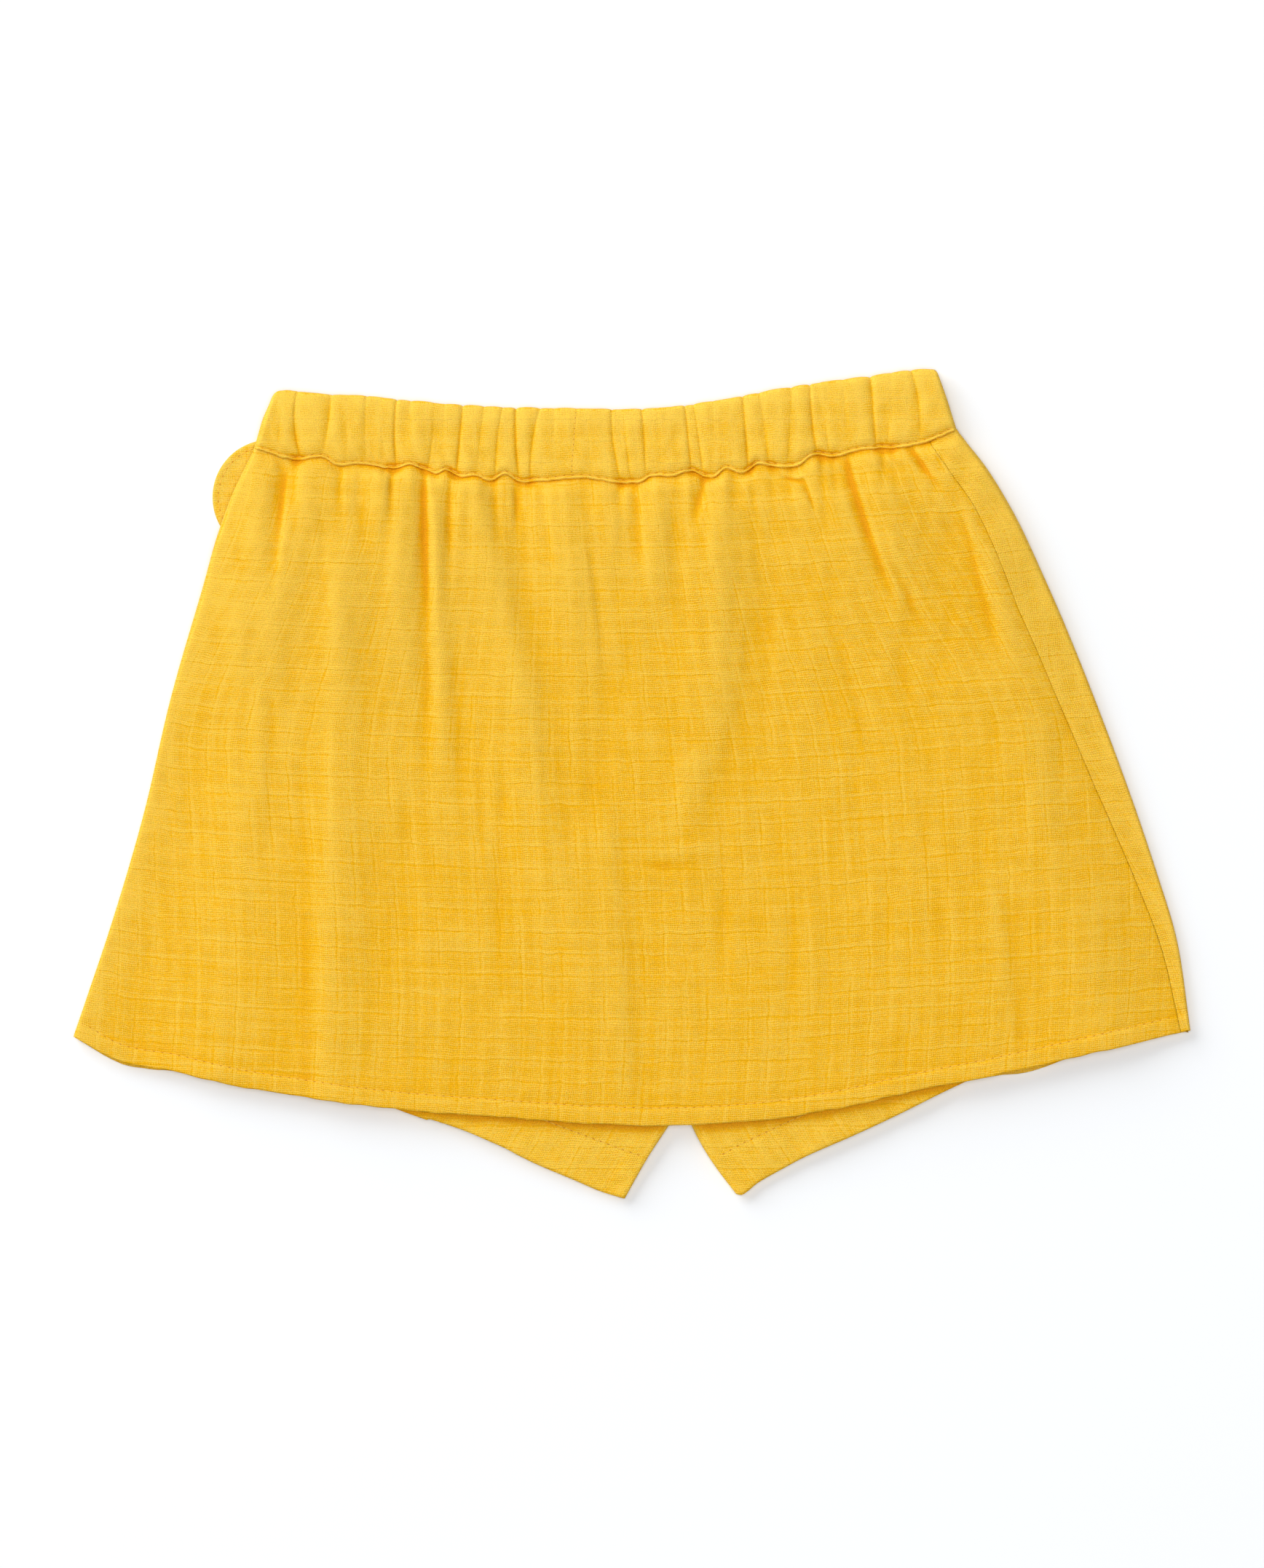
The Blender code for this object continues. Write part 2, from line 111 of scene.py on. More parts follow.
class Held(Enum):
    """How a sheet of cloth is held, in the frame's words."""

    GATHERED = "gathered"
    LAID = "laid"


class Face(Enum):
    """The face of the garment that a row of stitches lies on, as the sign of its z."""

    TOP = 1
    UNDER = -1


def ramp(value: Array, start: float, end: float) -> Array:
    """A smooth step.

    Args:
        value: what it is read at.
        start: up to here it is 0.
        end: from here on it is 1.

    Returns:
        0 to 1, in the shape of value.
    """
    part = np.clip((np.asarray(value, float) - start) / (end - start), 0, 1)
    return part * part * (3 - 2 * part)


def mix(first: Array, second: Array, share: Array) -> Array:
    """The value at this share of the way from first to second."""
    return first + (second - first) * share


def three_point(start: float, middle: float, end: float, share: float) -> float:
    """The value at this share of a smooth run through three even values.

    Args:
        start: value or place at its start.
        middle: value half way.
        end: value or place at its end.
        share: share of the way along.

    Returns:
        The value there.
    """
    return (
        start * (1 - share) * (1 - 2 * share) + middle * 4 * share * (1 - share)
        + end * share * (2 * share - 1)
    )


def bell(distance: Array, reach: float) -> Array:
    """A soft bump, 1 at distance 0 and nearly gone at twice its reach."""
    return np.exp(-((distance / reach) ** 2))


@dataclass(frozen=True)
class SmoothLine:
    """A smooth curve through a few points (x, y) of the plan."""

    points: tuple[tuple[float, float], ...]

    def at(self, share: Array) -> Array:
        """Points of the curve.

        Args:
            share: shares of its length, 0 at its first point and 1 at its last.

        Returns:
            The points, with x and y on the last axis.
        """
        knots = np.array(self.points, float)
        steps = np.linalg.norm(np.diff(knots, axis=0), axis=1)
        marks = np.concatenate([[0.0], np.cumsum(steps)]) / steps.sum()
        slopes = np.gradient(knots, marks, axis=0)
        k = np.clip(np.searchsorted(marks, share, side="right") - 1, 0, len(steps) - 1)
        span = (marks[k + 1] - marks[k])[..., None]
        f = np.asarray(share - marks[k])[..., None] / span
        start = (1 + 2 * f) * (1 - f) ** 2 * knots[k] + f * (1 - f) ** 2 * span * slopes[k]
        end = f * f * (3 - 2 * f) * knots[k + 1] + f * f * (f - 1) * span * slopes[k + 1]
        return start + end

    def level(self, x: Array) -> Array:
        """The y of the line above or below these x, on a line that runs to the right."""
        trace = self.at(np.linspace(0, 1, 1201))
        return np.interp(x, trace[:, 0], trace[:, 1])


@dataclass(frozen=True)
class Crinkle:
    """Soft unevenness of crinkled gauze: smoothed noise on a lattice of its own."""

    seed: int
    width: float
    length: float
    lattice: int = 160

    def at(self, x: Array, y: Array) -> Array:
        """Reads the noise.

        Args:
            x: places across the yarns.
            y: places along them.

        Returns:
            Values from about -1 to 1.
        """
        table = np.random.default_rng(self.seed).uniform(-1, 1, (self.lattice, self.lattice))
        u, v = np.asarray(x) / self.width, np.asarray(y) / self.length
        i, j = np.floor(u).astype(int), np.floor(v).astype(int)
        a, b = u - i, v - j
        a, b = a * a * (3 - 2 * a), b * b * (3 - 2 * b)
        i, j = i % self.lattice, j % self.lattice
        i_next, j_next = (i + 1) % self.lattice, (j + 1) % self.lattice
        return mix(
            mix(table[i, j], table[i_next, j], a), mix(table[i, j_next], table[i_next, j_next], a), b
        )


def crinkled(x: Array, y: Array, *rows: tuple[int, float, float, float, float]) -> Array:
    """Crinkles added up, as rows (seed, width, length, lean, strength).

    Args:
        x: places across the garment, in millimetres.
        y: places up the garment, in millimetres.
        *rows: (seed, width, length, lean, strength) of each crinkle.

    Returns:
        Their sum.
    """
    return sum(
        Crinkle(seed, width, length).at(x + lean * y, y) * strength
        for seed, width, length, lean, strength in rows
    )


# --- Outlines of the laid garment -----------------------------------------------------------------
WAIST_SEAM = SmoothLine((
    (-114, 101), (-102, 98), (-87, 96.6), (-68, 95.6), (-53, 93.2), (-32, 91.4), (-12, 91.6),
    (6, 92.3), (27, 93.6), (44, 95.8), (58, 98.2), (73, 100.7), (89, 102.9), (98, 106.4),
))
WAIST_RIM = SmoothLine((
    (-108.9, 118.4), (-104, 119), (-97, 118), (-80, 117.2), (-65, 115.6), (-45, 114.1), (-17, 113.4),
    (4, 113.4), (23, 115.4), (39, 118.3), (53, 120.7), (71, 123), (86, 125.1), (92.3, 125.2),
))
SKIRT_HEM = SmoothLine((
    (-168.6, -76), (-155, -83.6), (-140, -86.3), (-122, -90.5), (-97, -94.7), (-75, -97.6),
    (-37, -100.6), (-11, -102.4), (13, -102.9), (37, -101.5), (56, -98.9), (85, -92.6),
    (113, -87), (138, -81.4), (168.6, -74.4),
))
LEFT_FOLD = SmoothLine((
    (-114, 101), (-120.9, 86.4), (-125, 75), (-129, 61), (-139.2, 26), (-147.5, -9.4),
    (-157.9, -44.6), (-168.6, -76),
))
RIGHT_FOLD = SmoothLine((
    (98, 106.4), (106.5, 96), (114.5, 83), (125, 61), (143, 17), (158.5, -27), (164, -45),
    (168.6, -74.4),
))

# How far the gathers push the waist seam off its smooth line: (x, off).
SEAM_WAVE = SmoothLine((
    (-114, 0), (-104, -0.5), (-99, -0.2), (-94, 1.2), (-88, -1.1), (-83, -0.2), (-78, -0.5),
    (-72, -1.2), (-67, 0.5), (-63, -0.1), (-59, -0.9), (-56.3, 0.6), (-52.2, -0.7), (-47.5, 0),
    (-42.5, -0.8), (-38.5, 1.4), (-34, -0.7), (-29.5, -0.5), (-22, 0.2), (-13, 0.3), (-4, -1.3),
    (2, -1.4), (6.5, 0.3), (12, -0.1), (18, 1.2), (21.5, -0.6), (24.8, -1), (28, 1.1),
    (33.5, -1), (38, 1.3), (44, -0.6), (50.5, -0.9), (54, 1), (61, -0.4), (66, 0.3), (74, 0.1),
    (79, -0.5), (85, -0.2), (98, 0.3),
))

# --- Shorts -----------------------------------------------------------------------------------------
SHORTS_CENTRE = (-7.5, 90.4)
CROTCH = (15.3, -96.9)


@dataclass(frozen=True)
class LegCut:
    """Plan of one leg: its corners, as points (x, y), its hem's waves and its inseam's bow."""

    node: str
    side: Side
    outer_waist: tuple[float, float]
    outer_crotch: tuple[float, float]
    outer_hem: tuple[float, float]
    tip: tuple[float, float]
    hem_wave: SmoothLine
    inseam_bow: float = 1.3


LEFT_LEG = LegCut(
    "shorts_left_leg", Side.LEFT, (-98, 96), (-112, -50), (-118.3, -80.2), (-1.8, -124.7),
    SmoothLine((
        (0, 1.5), (0.008, 0.2), (0.025, -0.9), (0.07, -1.2), (0.14, -0.8), (0.21, -0.5), (0.27, 0.1),
        (0.34, 1.1), (0.42, 1.5), (0.5, 1.1), (0.6, 0.2), (0.8, 0), (1, 0),
    )),
    inseam_bow=-0.5,
)
RIGHT_LEG = LegCut(
    "shorts_right_leg", Side.RIGHT, (89, 100), (127, -46), (134.8, -74.3), (31.0, -124.7),
    SmoothLine((
        (0, 1.5), (0.008, 0.4), (0.025, -0.4), (0.045, 0.1), (0.08, 1.1), (0.13, 1.5), (0.21, 1.9),
        (0.28, 1.6), (0.36, 1.2), (0.46, 1.0), (0.6, 1.2), (0.8, 0.8), (1, 0),
    )),
)
LEG_HEMS = SmoothLine((LEFT_LEG.outer_hem, LEFT_LEG.tip, RIGHT_LEG.tip, RIGHT_LEG.outer_hem))

# --- Tab --------------------------------------------------------------------------------------------
TAB_CENTRE = (-109.3, 86.6)
TAB_RADIUS = 17.4
TAB_ROOT = 5.5
TAB_STITCH_IN = 1.8
TAB_CLEAR, TAB_SLOPE, TAB_SPREAD, TAB_SOFTER = 6.0, 12.0, 2.0, 19.0


class Furrow(NamedTuple):
    """A line between two gathers of the waistband: its x and its depth at three heights."""

    x_seam: float
    x_middle: float
    x_rim: float
    at_seam: float
    at_middle: float
    at_rim: float

    def x(self, up: float) -> float:
        """Its x at this share of the way up the band."""
        return three_point(self.x_seam, self.x_middle, self.x_rim, up)

    def depth(self, up: float) -> float:
        """Its depth, from 0 to 1, at this share of the way up the band."""
        return max(0.0, three_point(self.at_seam, self.at_middle, self.at_rim, up))


FURROWS = tuple(Furrow(*row) for row in (
    (-108.1, -107.7, -105.5, 0.15, 0.35, 0.3), (-101, -103.3, -102.4, 1, 0.85, 0.5),
    (-94.7, -93.2, -92, 0.1, 0.65, 0.45), (-87.4, -87.2, -87, 0.4, 0.15, 0.2),
    (-81.3, -81.7, -81.3, 0.3, 0.3, 0.5), (-77.3, -76.8, -76.2, 0.25, 0.15, 0.3),
    (-72, -72.7, -72, 1, 0.9, 0.85), (-68.5, -68.2, -67.7, 0.35, 0.2, 0.45),
    (-62.6, -61, -60.6, 0.9, 0.4, 0.3), (-58.9, -58, -57.3, 0.2, 0.35, 0.4),
    (-53.8, -52.7, -51.8, 1, 0.9, 0.8), (-47.4, -46.5, -45.2, 0.2, 0.4, 0.45),
    (-41.7, -41.2, -39.5, 0.7, 0.6, 0.5), (-34.3, -35.5, -35.5, 0.8, 1, 0.9),
    (-30.9, -30.5, -28, 0.9, 0.7, 0.5), (-24.3, -24, -23.6, 0.2, 0.15, 0.3),
    (-18.4, -18, -16.8, 0.3, 0.2, 0.3), (-11.8, -11.8, -11.8, 0.15, 0.15, 0.15),
    (-3, -5.6, -6, 0.9, 0.75, 0.6), (0.1, -1.6, -2.3, 0.7, 0.5, 0.2),
    (4.5, 3.9, 3.2, 0.5, 0.75, 0.7), (8.9, 8.3, 8, 0.4, 0.3, 0.3),
    (13.3, 12.7, 12, 0.3, 0.2, 0.35), (18.4, 17.4, 16.4, 0.9, 0.9, 0.8),
    (21.9, 20.6, 19, 0.9, 0.7, 0.6), (25.6, 25.4, 25, 0.2, 0.2, 0.3),
    (30.3, 29.9, 29.6, 0.2, 0.15, 0.2), (35.8, 34.9, 34, 0.95, 0.8, 0.7),
    (42.1, 40.8, 39, 0.8, 0.35, 0.5), (47.6, 48.6, 49, 0.6, 0.3, 0.65),
    (56.9, 55.3, 54.7, 1, 0.9, 0.85), (60.6, 59.3, 58.6, 0.8, 0.3, 0.1),
    (66, 65.4, 65, 0.2, 0.15, 0.3), (75.1, 74, 73.2, 0.9, 0.8, 0.8),
    (78.3, 79, 79.8, 0.8, 0.2, 0.3), (88.1, 87.9, 85.7, 0.3, 0.6, 0.6),
))


class Fold(NamedTuple):
    """A soft ridge (lift above 0) or trough (below 0) that runs down the skirt."""

    x_top: float
    y_top: float
    x_middle: float
    x_bottom: float
    y_bottom: float
    lift: float
    left: float
    right: float

    def at(self, x: Array, y: Array, flare: float = 0.8) -> Array:
        """What the fold adds to the height.

        Args:
            x: places across the skirt.
            y: places up it.
            flare: by this share it is wider at its lower end.

        Returns:
            Heights, 0 off the fold.
        """
        run = np.clip((self.y_top - y) / (self.y_top - self.y_bottom), 0, 1)
        line = three_point(self.x_top, self.x_middle, self.x_bottom, run)
        flank = np.where(x < line, self.left, self.right) * (1 + flare * run)
        fade = ramp(run, 0, 0.2) * (1 - ramp(run, 0.55, 1))
        return self.lift * fade * bell(x - line, flank)


MAIN_FOLDS = tuple(Fold(*row) for row in (
    (-101.6, 124, -105.2, -109.5, 48, -1.5, 2.4, 0.7),
    (-101.2, 122, -102.6, -104.8, 72, -1.7, 3.4, 1.4),
    (-96, 106, -98, -101, 52, 0.7, 3.5, 5.0),
    (-63, 122, -62.2, -61.9, 40, -1.1, 1.9, 0.6),
    (-62.4, 104, -61.8, -62.3, -12, -0.75, 2.1, 0.8),
    (-59.8, 96, -58.2, -56, -8, 0.9, 1.2, 2.2),
    (-53.8, 42, -52, -50.5, -12, -0.6, 1.8, 3.2),
    (-70, 98, -70.2, -71.5, 24, 0.6, 3.0, 3.6),
    (-54.6, 108, -55, -54.5, 52, -0.7, 1.6, 0.6),
    (-52, 108, -41, -26, 12, 1.0, 4.6, 4.4),
    (-36, 52, -26, -8, -84, 1.3, 8.0, 5.0),
    (-41, 112, -33, -20, 10, -0.9, 4.0, 6.0),
    (-28.5, 98, -26, -23.3, 56, -0.6, 2.4, 1.0),
    (-19.5, 94, -18.5, -15, 34, 0.6, 4.0, 3.4),
    (-13.8, 76, -10.2, -7.6, 24, -0.5, 0.6, 2.0),
    (-6.5, 42, -9.5, -10, -26, -0.45, 4.0, 5.0),
    (-8, 2, -4.6, -1, -112, 0.95, 10.0, 2.4),
    (1.2, 110, 2, 3.5, 54, -0.7, 2.2, 0.5),
    (8, 102, 8, 9, 42, 0.7, 3.4, 3.6),
    (26, 100, 25, 20, -10, 1.3, 5.5, 5.0),
    (21, 14, 17, 13, -24, 0.7, 5.0, 4.0),
    (13, 88, 13, 14.5, 42, -0.5, 2.2, 2.4),
    (45, 112, 41.5, 36, 28, -0.95, 7.5, 9.0),
    (36, 58, 31.5, 19, -22, -0.5, 1.8, 6.5),
    (60, 118, 68.6, 81, 50, -1.7, 2.0, 0.7),
    (68, 108, 76, 86, 54, 0.8, 2.4, 4.0),
    (80, 104, 88, 97, 50, -0.4, 3.6, 3.6),
    (98, 86, 105, 112.5, 30, -1.1, 9.0, 1.1),
    (105, 80, 113, 121, 22, 0.8, 2.4, 4.0),
    (-87, 96, -90, -91.5, -150, 1.1, 3.4, 6.5),
    (-96.5, 86, -99, -107, 8, -0.9, 3.8, 4.6),
    (-81, 94, -79, -76.5, 8, -0.5, 4.0, 3.4),
    (-128, 30, -127, -121, -120, -0.8, 8.5, 8.5),
    (-101, 20, -99, -98.5, -150, -0.85, 15.0, 3.0),
))


class Puff(NamedTuple):
    """Air under the upper panel, by the distance below the waist seam."""

    below_waist: float
    loft: float


PUFFS = tuple(Puff(*row) for row in (
    (0, 0.6), (4, 1.9), (12, 2.9), (28, 3.3), (70, 2.3), (120, 1.6), (170, 1.2), (210, 0.6),
))


class SeamPoint(NamedTuple):
    """Where the right side seam lies on top, at a share of the way down from the waist."""

    down: float
    across: float


RIGHT_SEAM = tuple(SeamPoint(*row) for row in (
    (0, 0.963), (0.06, 0.962), (0.12, 0.966), (0.2, 0.965), (0.3, 0.962), (0.45, 0.966),
    (0.6, 0.972), (0.75, 0.981), (0.88, 0.988), (1, 0.994),
))
LEFT_SEAM = 0.052


class Peek(NamedTuple):
    """Where the under panel's hem shows below the upper one's."""

    x: float
    reach: float
    drop: float


PEEKS = (Peek(119, 9, 1.4), Peek(-152, 12, 0.8))

# --- Creases of the upper panel, finer than its folds: (as Fold) -----------------------------------
CREASES = tuple(Fold(*row) for row in (
    (-112, 96, -116, -121, 20, 0.35, 3.0, 4.0),
    (-93.8, 84, -93, -91.5, 46, -0.3, 1.0, 1.2),
    (-87.5, 104, -87.5, -87, 70, -0.5, 1.4, 0.6),
    (-81.5, 104, -82, -82.5, 76, -0.4, 1.0, 1.2),
    (-76, 104, -76.3, -77, 66, 0.5, 1.6, 1.6),
    (-72.6, 104, -72.6, -72, 72, -0.6, 0.6, 1.4),
    (-67.5, 102, -67, -66, 80, 0.3, 1.2, 1.2),
    (-115, 50, -116, -117, -10, -0.25, 1.4, 1.6),
    (-108, 30, -109, -110, -40, -0.25, 1.4, 1.4),
    (-49, 102, -49.5, -50, 60, -0.25, 1.0, 1.2),
    (-41.8, 102, -41, -39.5, 66, -0.5, 1.6, 0.7),
    (-35, 104, -35, -34.5, 72, -0.8, 0.6, 1.6),
    (-15, 98, -15, -14.5, 76, -0.3, 1.4, 1.4),
    (-3.5, 100, -4, -4.5, 80, -0.7, 1.4, 0.7),
    (22.5, 104, 21, 17.8, 74, -1.1, 1.3, 0.6),
    (14, 98, 14.5, 15, 84, -0.3, 1.2, 1.2),
    (30, 100, 30.5, 32, 78, -0.4, 1.2, 1.4),
    (35, 100, 35.5, 36, 78, 0.3, 1.4, 1.4),
    (57, 106, 60, 66, 84, -0.9, 2.4, 2.2),
    (74, 108, 76, 79, 86, -0.4, 1.2, 1.4),
    (75, 116, 85.4, 97, 83, -1.3, 1.4, 0.6),
    (79, 66, 84, 88, 42, -0.4, 1.4, 1.4),
    (61, 48, 67, 75, 0, -0.22, 1.8, 2.0),
    (79, 44, 85, 93, -6, -0.25, 1.8, 2.2),
    (-45, 18, -45.6, -44, -26, -0.25, 1.2, 1.4),
    (-39, 6, -39.6, -38, -72, -0.22, 1.5, 1.6),
    (-68, 4, -69, -71, -60, -0.3, 2.2, 3.0),
    (-76, -8, -76.5, -77, -84, -0.35, 3.0, 5.0),
    (-1, 50, -1.5, -2, 20, -0.3, 1.4, 1.6),
    (27.5, 0, 27.5, 28, -66, -0.2, 1.4, 1.6),
    (48, -30, 48, 47, -92, -0.2, 1.4, 1.8),
    (86, 2, 92, 96, -70, -0.2, 1.8, 2.0),
    (128, 30, 132, 138, -50, -0.25, 3.0, 3.0),
    (112, -26, 117, 120, -110, -0.5, 1.8, 9.0),
))


class Dent(NamedTuple):
    """A short crease that crosses the panel: its ends, its depth and its half width."""

    x_start: float
    y_start: float
    x_end: float
    y_end: float
    lift: float
    reach: float

    def at(self, x: Array, y: Array) -> Array:
        """What the dent adds to the height at these places.

        Args:
            x: places across the garment, in millimetres.
            y: places up the garment, in millimetres.

        Returns:
            Heights, 0 off the dent.
        """
        run_x, run_y = self.x_end - self.x_start, self.y_end - self.y_start
        length = math.hypot(run_x, run_y)
        along = ((x - self.x_start) * run_x + (y - self.y_start) * run_y) / length
        off = ((x - self.x_start) * run_y - (y - self.y_start) * run_x) / length
        fade = ramp(along, -0.2 * length, 0.3 * length) * (1 - ramp(along, 0.7 * length, 1.2 * length))
        return self.lift * fade * bell(off, self.reach)


DENTS = tuple(Dent(*row) for row in (
    (5, -24.6, 24, -21.8, -0.5, 1.2),
    (8, -22, 25, -20, 0.5, 2.5),
    (45, 93.5, 52, 91, -0.9, 0.7),
    (51.5, 91.5, 55, 82.5, -0.8, 0.8),
    (-62, -48, -30, -50, 0.2, 3.0),
))


@dataclass(frozen=True)
class LaidShape:
    """The form of the whole laid garment: its plan, its levels and what lies over what."""

    seam_rise: float = 0.5
    seam_pull: float = 1.1  # how far a tight knot pulls the waist seam down
    knot_reach: float = 1.9
    knot_growth: float = 1.5
    turn_share: float = 0.55  # a side fold's reach across, as a share of half its height
    fold_share: float = 0.85  # how much of the main folds is left once the cloth has settled
    edge_press: float = 0.25  # how much lower the cloth lies along its right fold
    edge_reach: float = 6.0
    # Creases of the lowest cloth: how far the gathers reach, at least and with their spread, and
    # how high the gathers and the folds stand.
    under_reach: tuple[float, float] = (30, 55)
    under_heights: tuple[float, float] = (0.45, 0.3)

    def knots(self, x: Array) -> Array:
        """How tightly the waist seam is drawn in, 0 to 1, most of it at the strong furrows."""
        found = sum(f.at_seam ** 3 * bell(x - f.x_seam, self.knot_reach) for f in FURROWS)
        return 1 - np.exp(-self.knot_growth * found)

    @staticmethod
    def seam_shift(x: Array, off_seam: Array) -> Array:
        """How far the waist seam's waves carry the cloth up, at this distance from the seam."""
        waves = SEAM_WAVE.level(x) + 0.2 * Crinkle(17, 1.7, 9).at(x, 0 * x)
        return waves * (1 - ramp(off_seam, 0, SEAM_WAVE_FADES))

    def seam_height(self, x: Array) -> Array:
        """Height of the waist seam, pulled down where it is drawn in."""
        return BAND_LOFT + self.seam_rise - self.seam_pull * self.knots(x)

    def skirt_plan(self, across: Array, down: Array) -> Array:
        """Plan points of the skirt.

        Args:
            across: share of the way from the left fold to the right one.
            down: share of the way from the waist seam to the hem.

        Returns:
            Points, with x and y on the last axis.
        """
        across, down = np.broadcast_arrays(np.asarray(across, float), np.asarray(down, float))
        a, d = across[..., None], down[..., None]
        ends = [np.array(p, float) for p in (
            WAIST_SEAM.points[0], WAIST_SEAM.points[-1], SKIRT_HEM.points[0], SKIRT_HEM.points[-1]
        )]
        corners = mix(mix(ends[0], ends[1], a), mix(ends[2], ends[3], a), d)
        sides = mix(LEFT_FOLD.at(down), RIGHT_FOLD.at(down), a)
        return sides + mix(WAIST_SEAM.at(across), SKIRT_HEM.at(across), d) - corners

    def band_plan(self, across: Array, up: Array) -> Array:
        """Plan points of the waistband, across from its left corner and up from the seam."""
        across, up = np.broadcast_arrays(np.asarray(across, float), np.asarray(up, float))
        return mix(WAIST_SEAM.at(across), WAIST_RIM.at(across), up[..., None])

    def outside_shorts(self, x: Array, y: Array) -> Array:
        """How far a plan point lies outside the shorts, roughly; negative inside them.

        Args:
            x: places across the garment, in millimetres.
            y: places up the garment, in millimetres.

        Returns:
            Distances in millimetres.
        """
        past = []
        for leg in (LEFT_LEG, RIGHT_LEG):
            down = (leg.outer_waist[1] - y) / (leg.outer_waist[1] - leg.outer_hem[1])
            edge = mix(leg.outer_waist[0], leg.outer_hem[0], down)
            past.append((x - edge) * leg.side.value)
        return np.maximum(np.maximum(*past), LEG_HEMS.level(x) - y)

    def tab_lift(self, x: Array, y: Array, layer: int = 0) -> Array:
        """How far the tab lifts the cloth over it: layer 0 is the lowest one.

        Args:
            x: places across the garment, in millimetres.
            y: places up the garment, in millimetres.
            layer: 0 for the lowest cloth, and 1 more for each one over it.

        Returns:
            Heights to be added to the cloth's.
        """
        past = np.hypot(x - TAB_CENTRE[0], y - TAB_CENTRE[1]) - TAB_RADIUS
        start = TAB_CLEAR + TAB_SPREAD * layer
        return (TAB_WALL + SEAM_GAP) * (1 - ramp(past, start, start + TAB_SLOPE + TAB_SOFTER * layer))

    def under_lift(self, x: Array, y: Array) -> Array:
        """Shallow creases in which the lowest cloth stands off the table.

        Args:
            x: places across the garment, in millimetres.
            y: places up the garment, in millimetres.

        Returns:
            Heights over the table.
        """
        below = WAIST_SEAM.level(x) - y
        least, spread = self.under_reach
        reach = least + spread * (0.5 + 0.5 * Crinkle(41, 17, 400).at(x, 0 * y))
        gathers = Crinkle(42, 5.2, 90).at(x - 0.12 * x * np.clip(below, 0, 200) / 200, y)
        folds = Crinkle(43, 19, 120).at(x, y)
        near = np.exp(-np.clip(below, 0, None) / reach)
        gathered, folded = self.under_heights
        return np.clip(gathers, 0, 1) * gathered * near + folded * np.clip(folds, 0, 1) ** 2

    def base(self, x: Array, y: Array) -> Array:
        """Lowest height that the top of the upper panel may have over the layers below."""
        past = ramp(self.outside_shorts(x, y), SHORTS_MARGIN, SHORTS_MARGIN + SHORTS_SLOPE)
        return self.tab_lift(x, y, 2) + mix(OVER_LEGS, OVER_SKIRT, past)

    def loft(self, x: Array, y: Array) -> Array:
        """Air under the upper panel with its main folds, before it settles on what is below.

        Args:
            x: places across the garment, in millimetres.
            y: places up the garment, in millimetres.

        Returns:
            Heights over what the panel lies on.
        """
        lift = np.interp(WAIST_SEAM.level(x) - y, [p.below_waist for p in PUFFS], [p.loft for p in PUFFS])
        lift = lift + self.fold_share * sum(fold.at(x, y) for fold in MAIN_FOLDS)
        edge = RIGHT_FOLD.points[::-1]
        turned = np.interp(y, [p[1] for p in edge], [p[0] for p in edge])
        return lift - self.edge_press * bell(np.clip(turned - x, 0, None), self.edge_reach)

    def side_seam(self, down: Array) -> Array:
        """Share of the way across the top at which the right side seam lies."""
        return np.interp(down, [p.down for p in RIGHT_SEAM], [p.across for p in RIGHT_SEAM])

    def furrow_marks(self, up: float) -> Array:
        """Shares of the band's width at which its furrows lie, ends included.

        Args:
            up: share of the way up the band.

        Returns:
            The shares, from 0 to 1.
        """
        shares = np.linspace(0, 1, 601)
        line = self.band_plan(shares, up)[:, 0]
        return np.array([0.0] + [float(np.interp(f.x(up), line, shares)) for f in FURROWS] + [1.0])

    def ring(
        self, plan: Callable[[Array], Array], height: Callable[..., Array],
        low: Callable[[Array, Array], Array], across: Array, turn: Array, inset: Array = 0.0,
    ) -> tuple[Array, Array, Array]:
        """Points of a flattened ring of cloth with rounded side folds.

        Args:
            plan: plan points at a share of the way across.
            height: height of the top face at (across, x, y).
            low: height of the under face at (x, y).
            across: share of the way from the left fold to the right one.
            turn: the way the wall faces, 90 up, 0 out to the side and -90 down.
            inset: depth of the point inside the wall.

        Returns:
            The x, y and z of the points.
        """
        ends = plan(np.zeros_like(across)), plan(np.ones_like(across))
        width = np.linalg.norm(ends[1] - ends[0], axis=-1)
        side = np.round(across)
        edge = plan(side)
        rise = height(side, edge[..., 0], edge[..., 1]) - low(edge[..., 0], edge[..., 1])
        radius = rise / 2 - inset
        tuck = (inset + self.turn_share * radius * (1 - np.cos(np.radians(turn)))) / width
        spot = plan(tuck + across * (1 - 2 * tuck))
        x, y = spot[..., 0], spot[..., 1]
        bottom, top = low(x, y) + inset, height(across, x, y) - inset
        return x, y, mix(bottom, top, (1 + np.sin(np.radians(turn))) / 2)


SHAPE = LaidShape()


def stations(side: Side, steps: int) -> list[tuple[float, float]]:
    """Stations (across, turn) round a side fold, up on the left and down on the right."""
    across = float(side is Side.RIGHT)
    return [(across, -side.value * (-90 + 180 * k / steps)) for k in range(steps + 1)]


